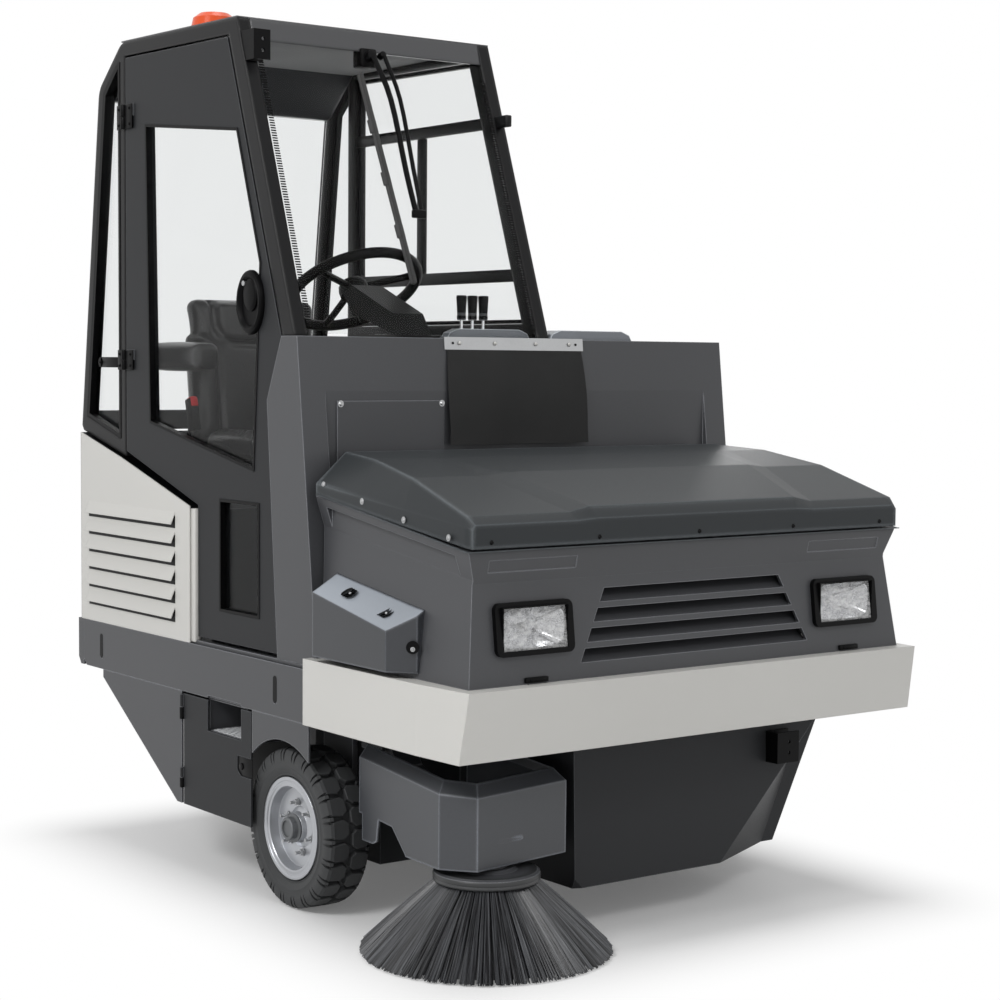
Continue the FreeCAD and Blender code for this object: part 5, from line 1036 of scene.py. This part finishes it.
def puff(pad, cap):
    """Fill a pad by cloth simulation; no point moves further than the cap, in metres."""
    frames = 20
    remesh = pad.modifiers.new("even_mesh", "REMESH")
    remesh.mode = "VOXEL"
    remesh.voxel_size = 0.006
    settle(pad)
    before = [v.co.copy() for v in pad.data.vertices]
    cloth = pad.modifiers.new("padding", "CLOTH")
    cloth.settings.use_pressure = True
    cloth.settings.uniform_pressure_force = 4.0
    cloth.settings.effector_weights.gravity = 0
    cloth.settings.tension_stiffness = 12
    cloth.settings.compression_stiffness = 12
    cloth.settings.bending_stiffness = 2
    cloth.point_cache.frame_start, cloth.point_cache.frame_end = 1, frames
    scene = bpy.context.scene
    for number in range(1, frames + 1):
        scene.frame_set(number)
    settle(pad)
    scene.frame_set(1)
    for vert, start in zip(pad.data.vertices, before):
        step = vert.co - start
        if step.length > cap:
            vert.co = start + step * (cap / step.length)


def groove(pad, distance, depth, width):
    """Press a sewn line into a pad wherever distance(x, y, z) in machine millimetres is small."""
    normals = [v.normal.copy() for v in pad.data.vertices]
    back = TO_ROW.inverted()
    for vert, normal in zip(pad.data.vertices, normals):
        gap = distance(*(back @ vert.co), normal)
        if gap is not None and abs(gap) < width * 3:
            vert.co -= normal * depth / 1000 * exp(-(gap / width) ** 2)


def cushion_seam(x, y, z, normal):
    """Two seams along the thighs and two across between them, on the upper side only."""
    if normal.z < 0.2:
        return None
    side = abs(x - SEAT_X) - 142 + max(0, 1230 - y) * 0.12
    cross = min(abs(y - 1262), abs(y - 1372)) if side < 0 else 999
    return min(abs(side), cross)


def back_seam(x, y, z, normal):
    """The seam round the head pad, which widens upwards, and those of the side bolsters."""
    if normal.y > -0.25:
        return None
    across, up = abs(x - SEAT_X), z - SEAT_BACK_Z
    if up >= 360:
        head = across - 135
    elif across <= 65:
        head = 290 - up
    else:
        head = hypot(across - 65, 360 - up) - 70
    if up <= 250:
        side = across - 128
    elif across < 188:
        side = hypot(across - 188, up - 250) - 60
    else:
        side = up - 310
    return min(head, side, key=abs)


def seat_brick(bm, half, y, z, rounding, lean=None, near=None):
    """A block of foam about the seat's middle, or one at each side from a nearer distance out."""
    spans = [(-half, half)] if near is None else [(-half, -near), (near, half)]
    for low, high in spans:
        brick(bm, (SEAT_X + low, y[0], z[0]), (SEAT_X + high, y[1], z[1]), rounding, lean, 4)


@contextmanager
def padding(name, cap, seam=None, replaces=()):
    """Foam to draw in; it is filled when its block ends, and sewn along a seam."""
    bm = bmesh.new()
    yield bm
    pad = keep(bm, name, "seat_cover", "chassis", replaces, sharp=180)
    puff(pad, cap)
    if seam:
        groove(pad, *seam)
    pad.data.shade_smooth()
    smooth = pad.modifiers.new("smooth", "SUBSURF")
    smooth.levels = smooth.render_levels = 1


def seat():
    """Cushion, back and armrest as padded pieces on their shell."""
    with padding("seat_cushion", 0.009, (cushion_seam, 7, 6), ["seat_pads"]) as bm:
        seat_brick(bm, 208, (1172, 1480), (1048, 1108), 26)
        seat_brick(bm, 213, (1195, 1478), (1052, 1118), 24, near=148)
    lean = moved((0, SEAT_BACK_Y, SEAT_BACK_Z)) @ turned(-7.5, "X")
    with padding("seat_back", 0.009, (back_seam, 11, 8)) as bm:
        seat_brick(bm, 214, (6, 62), (6, 330), 27, lean)
        seat_brick(bm, 196, (8, 64), (240, 428), 28, lean)
        seat_brick(bm, 128, (-8, 50), (288, 422), 26, lean)
        seat_brick(bm, 216, (-14, 56), (20, 300), 27, lean, near=140)
    with padding("armrest_pad", 0.004) as bm:
        brick(bm, (-598, 1318, 1281), (-526, 1622, 1352), 20, segments=4)
    with piece("seat_shell", "black_plastic") as bm:
        brick(bm, (SEAT_X - 205, 1180, 1028), (SEAT_X + 205, 1478, 1050), 8)
        brick(bm, (SEAT_X - 150, 1578, 1080), (SEAT_X + 150, 1592, 1300), 5)
    tilt = moved((-545, 1432, 1150)) @ turned(-14, "X")
    with piece("belt_buckle", "black_plastic") as bm:
        brick(bm, (-12, -16, -30), (12, 16, 58), 4, tilt)
        bent_bar(bm, [(-545, 1448, 1130), (-540, 1466, 1090), (-520, 1480, 1050)], 7, 8, 6)
    with piece("belt_button", "red_button") as bm:
        brick(bm, (-10, -18, 34), (10, -12, 57), 2, tilt)
        brick(bm, (-9, -17, 54), (9, 8, 60), 2, tilt)


def hand_controls():
    """Grips and rods of the levers, and the hand wheel with its spokes and hub."""
    with piece("lever_grips", "black_plastic") as bm:
        for x in LEVERS_X:
            lathe(bm, [(0.01, 0), (9.5, 0), (11.6, 3), (11.8, 8), (10.6, 12), (11.4, 22), (12, 34),
                       (13, 48), (13.6, 56), (12.5, 61), (0.01, 62)], (x, LEVERS_Y, 1414), UP, 24)
    with piece("lever_rods", "reflector") as bm:
        for x in LEVERS_X:
            drum(bm, (x, LEVERS_Y, 1346), UP, 4.4, 70, 14)
    rim, grip = 170, 13.8
    tilt = turned(-32, "X")
    axis = tilt @ UP
    with piece("hand_wheel_rim", "black_plastic", "hand_wheel", ["steering_wheel"],
               sharp=50) as bm:
        ring = [(rim + grip * cos(TURN * k / 16), grip * sin(TURN * k / 16))
                for k in range(16)]
        lathe(bm, ring + ring[:1], HAND_WHEEL, axis, 80)
        for index in range(3):
            place = moved(HAND_WHEEL) @ tilt @ turned(120 * index, "Z")
            bent_bar(bm, [place @ Vector(p) for p in ((0, 20, 4), (0, 70, 1), (0, 130, -2),
                                                      (0, rim - 4, 0))], 9, 12, 4)
        lathe(bm, [(0.01, 27), (22, 26.5), (30, 23), (36, 15), (39, 2), (38, -14), (12.6, -15)],
              HAND_WHEEL, axis, 40)


# Sides


def service_doors():
    """Hinge barrels and the flush latch of the door behind each front wheel."""
    with piece("service_hinge_barrels", "black_plastic") as bm:
        for low, high in ((212, 264), (389, 453)):
            for side in (RIGHT, LEFT):
                drum(bm, (side * 674, 1260, low), UP, 6.2, (high - low) / 2 - 1, 16, bevel=1)
    for side, hand in SIDES:
        with piece("service_latch_" + hand, "black_plastic", "service_door_%s_leaf" % hand) as bm:
            side_brick(bm, side, (668.6, 670), (907, 978), (290, 337), 0.3)
            drum(bm, (side * 669, 960, 313), ACROSS * side, 9, 3.4, 20, bevel=1)


def step_tread():
    """Raised bars, turned by quarters, on the bright plate of the step."""
    columns, column_pitch, rows, row_pitch = 9, 12.5, 14, 12
    with piece("step_tread_plate", "bright_tread") as bm:
        for i in range(columns):
            for k in range(rows):
                place = moved((-654 + column_pitch * i, 968 + row_pitch * k, STEP_Z))
                brick(bm, (-6, -1.6, -0.6), (6, 1.6, 1.4), 0.7,
                      place @ turned(45 if (i + k) % 2 else -45, "Z"), 1)
        brick(bm, (-656, 962, STEP_Z - 0.5), (-556, 1126, STEP_Z + 0.6))


def shadow_gaps():
    """Black sheets as painted shade in the rail's slots, under the louvres, in the gap over the
    service door and in the wheel arch.
    """
    slot_z, slot_half, slot_radius = 525, 24, 9
    louvre_foot, louvre_pitch = 644, 48.5
    with piece("shadow_linings", "black_plastic") as bm:
        for side in (RIGHT, LEFT):
            for y in (797, 1728):
                ends = [(side * (BODY_HALF - 0.4), y + slot_radius * cos(a * TURN / 16),
                         slot_z + (slot_half if 0 < a < 8 else -slot_half)
                         + slot_radius * sin(a * TURN / 16)) for a in range(16)]
                slab(bm, ends, ACROSS * side, 0.9)
            for k in range(6):
                foot = louvre_foot + louvre_pitch * k
                side_brick(bm, side, (BODY_HALF - 0.3, BODY_HALF + 0.5), (1299, 1801),
                           (foot - 10, foot + 21))
            side_brick(bm, side, (636, 640), (1142, 1345), (420, 460.5))
            side_brick(bm, side, (655, 660), (957, 1127), (458, 480))
            side_brick(bm, side, (526, 530), (930, 1180), (200, 372))


def panel_edges():
    """The rear panels' folded front edges beside the cab doors."""
    with piece("rear_panel_edges", "light_paint") as bm:
        for side in (RIGHT, LEFT):
            side_brick(bm, side, (650, 667), (1202, 1226), (592, 932), 2.5)


def brush_drive():
    """The hydraulic motor, its fittings and the lift spring seen inside the open cover."""
    head = 324
    with piece("brush_motor", "engine_metal", "brush_lift_arm") as bm:
        drum(bm, BRUSH_MIDDLE + UP * 262, UP, 44, 62, 32, bevel=4)
        drum(bm, BRUSH_MIDDLE + UP * head, UP, 30, 22, 6, bevel=2)
        for k in range(4):
            drum(bm, BRUSH_MIDDLE + around(TURN * (k + 0.5) / 4, 34, head), UP, 5, 7, 6)
    with piece("brush_drive_fittings", "bare_steel", "brush_lift_arm") as bm:
        for sense in (-1, 1):
            drum(bm, BRUSH_MIDDLE + Vector((sense * 40, 14, 300)), (sense, 0.4, 0.5), 9, 22, 6,
                 bevel=1)
        coil, twist, step, wire = 9, 0.9, 3.2, 2
        bent_bar(bm, [(-560 + coil * cos(t * twist), 300 + t * step, 330 + coil * sin(t * twist))
                      for t in range(48)], wire, 6, 2)


finish_frame()
place_camera()
wheels()
side_brush()
main_broom()
front_fasteners()
hood_lip()
headlamp_insides()
rubber_flaps()
side_box_screws()
screen_edges()
wiper()
door_hinges()
door_handle()
window_frames()
seat()
hand_controls()
service_doors()
step_tread()
shadow_gaps()
panel_edges()
brush_drive()
lay_floor()
light_scene()
bpy.context.scene.view_settings.view_transform = "Standard"
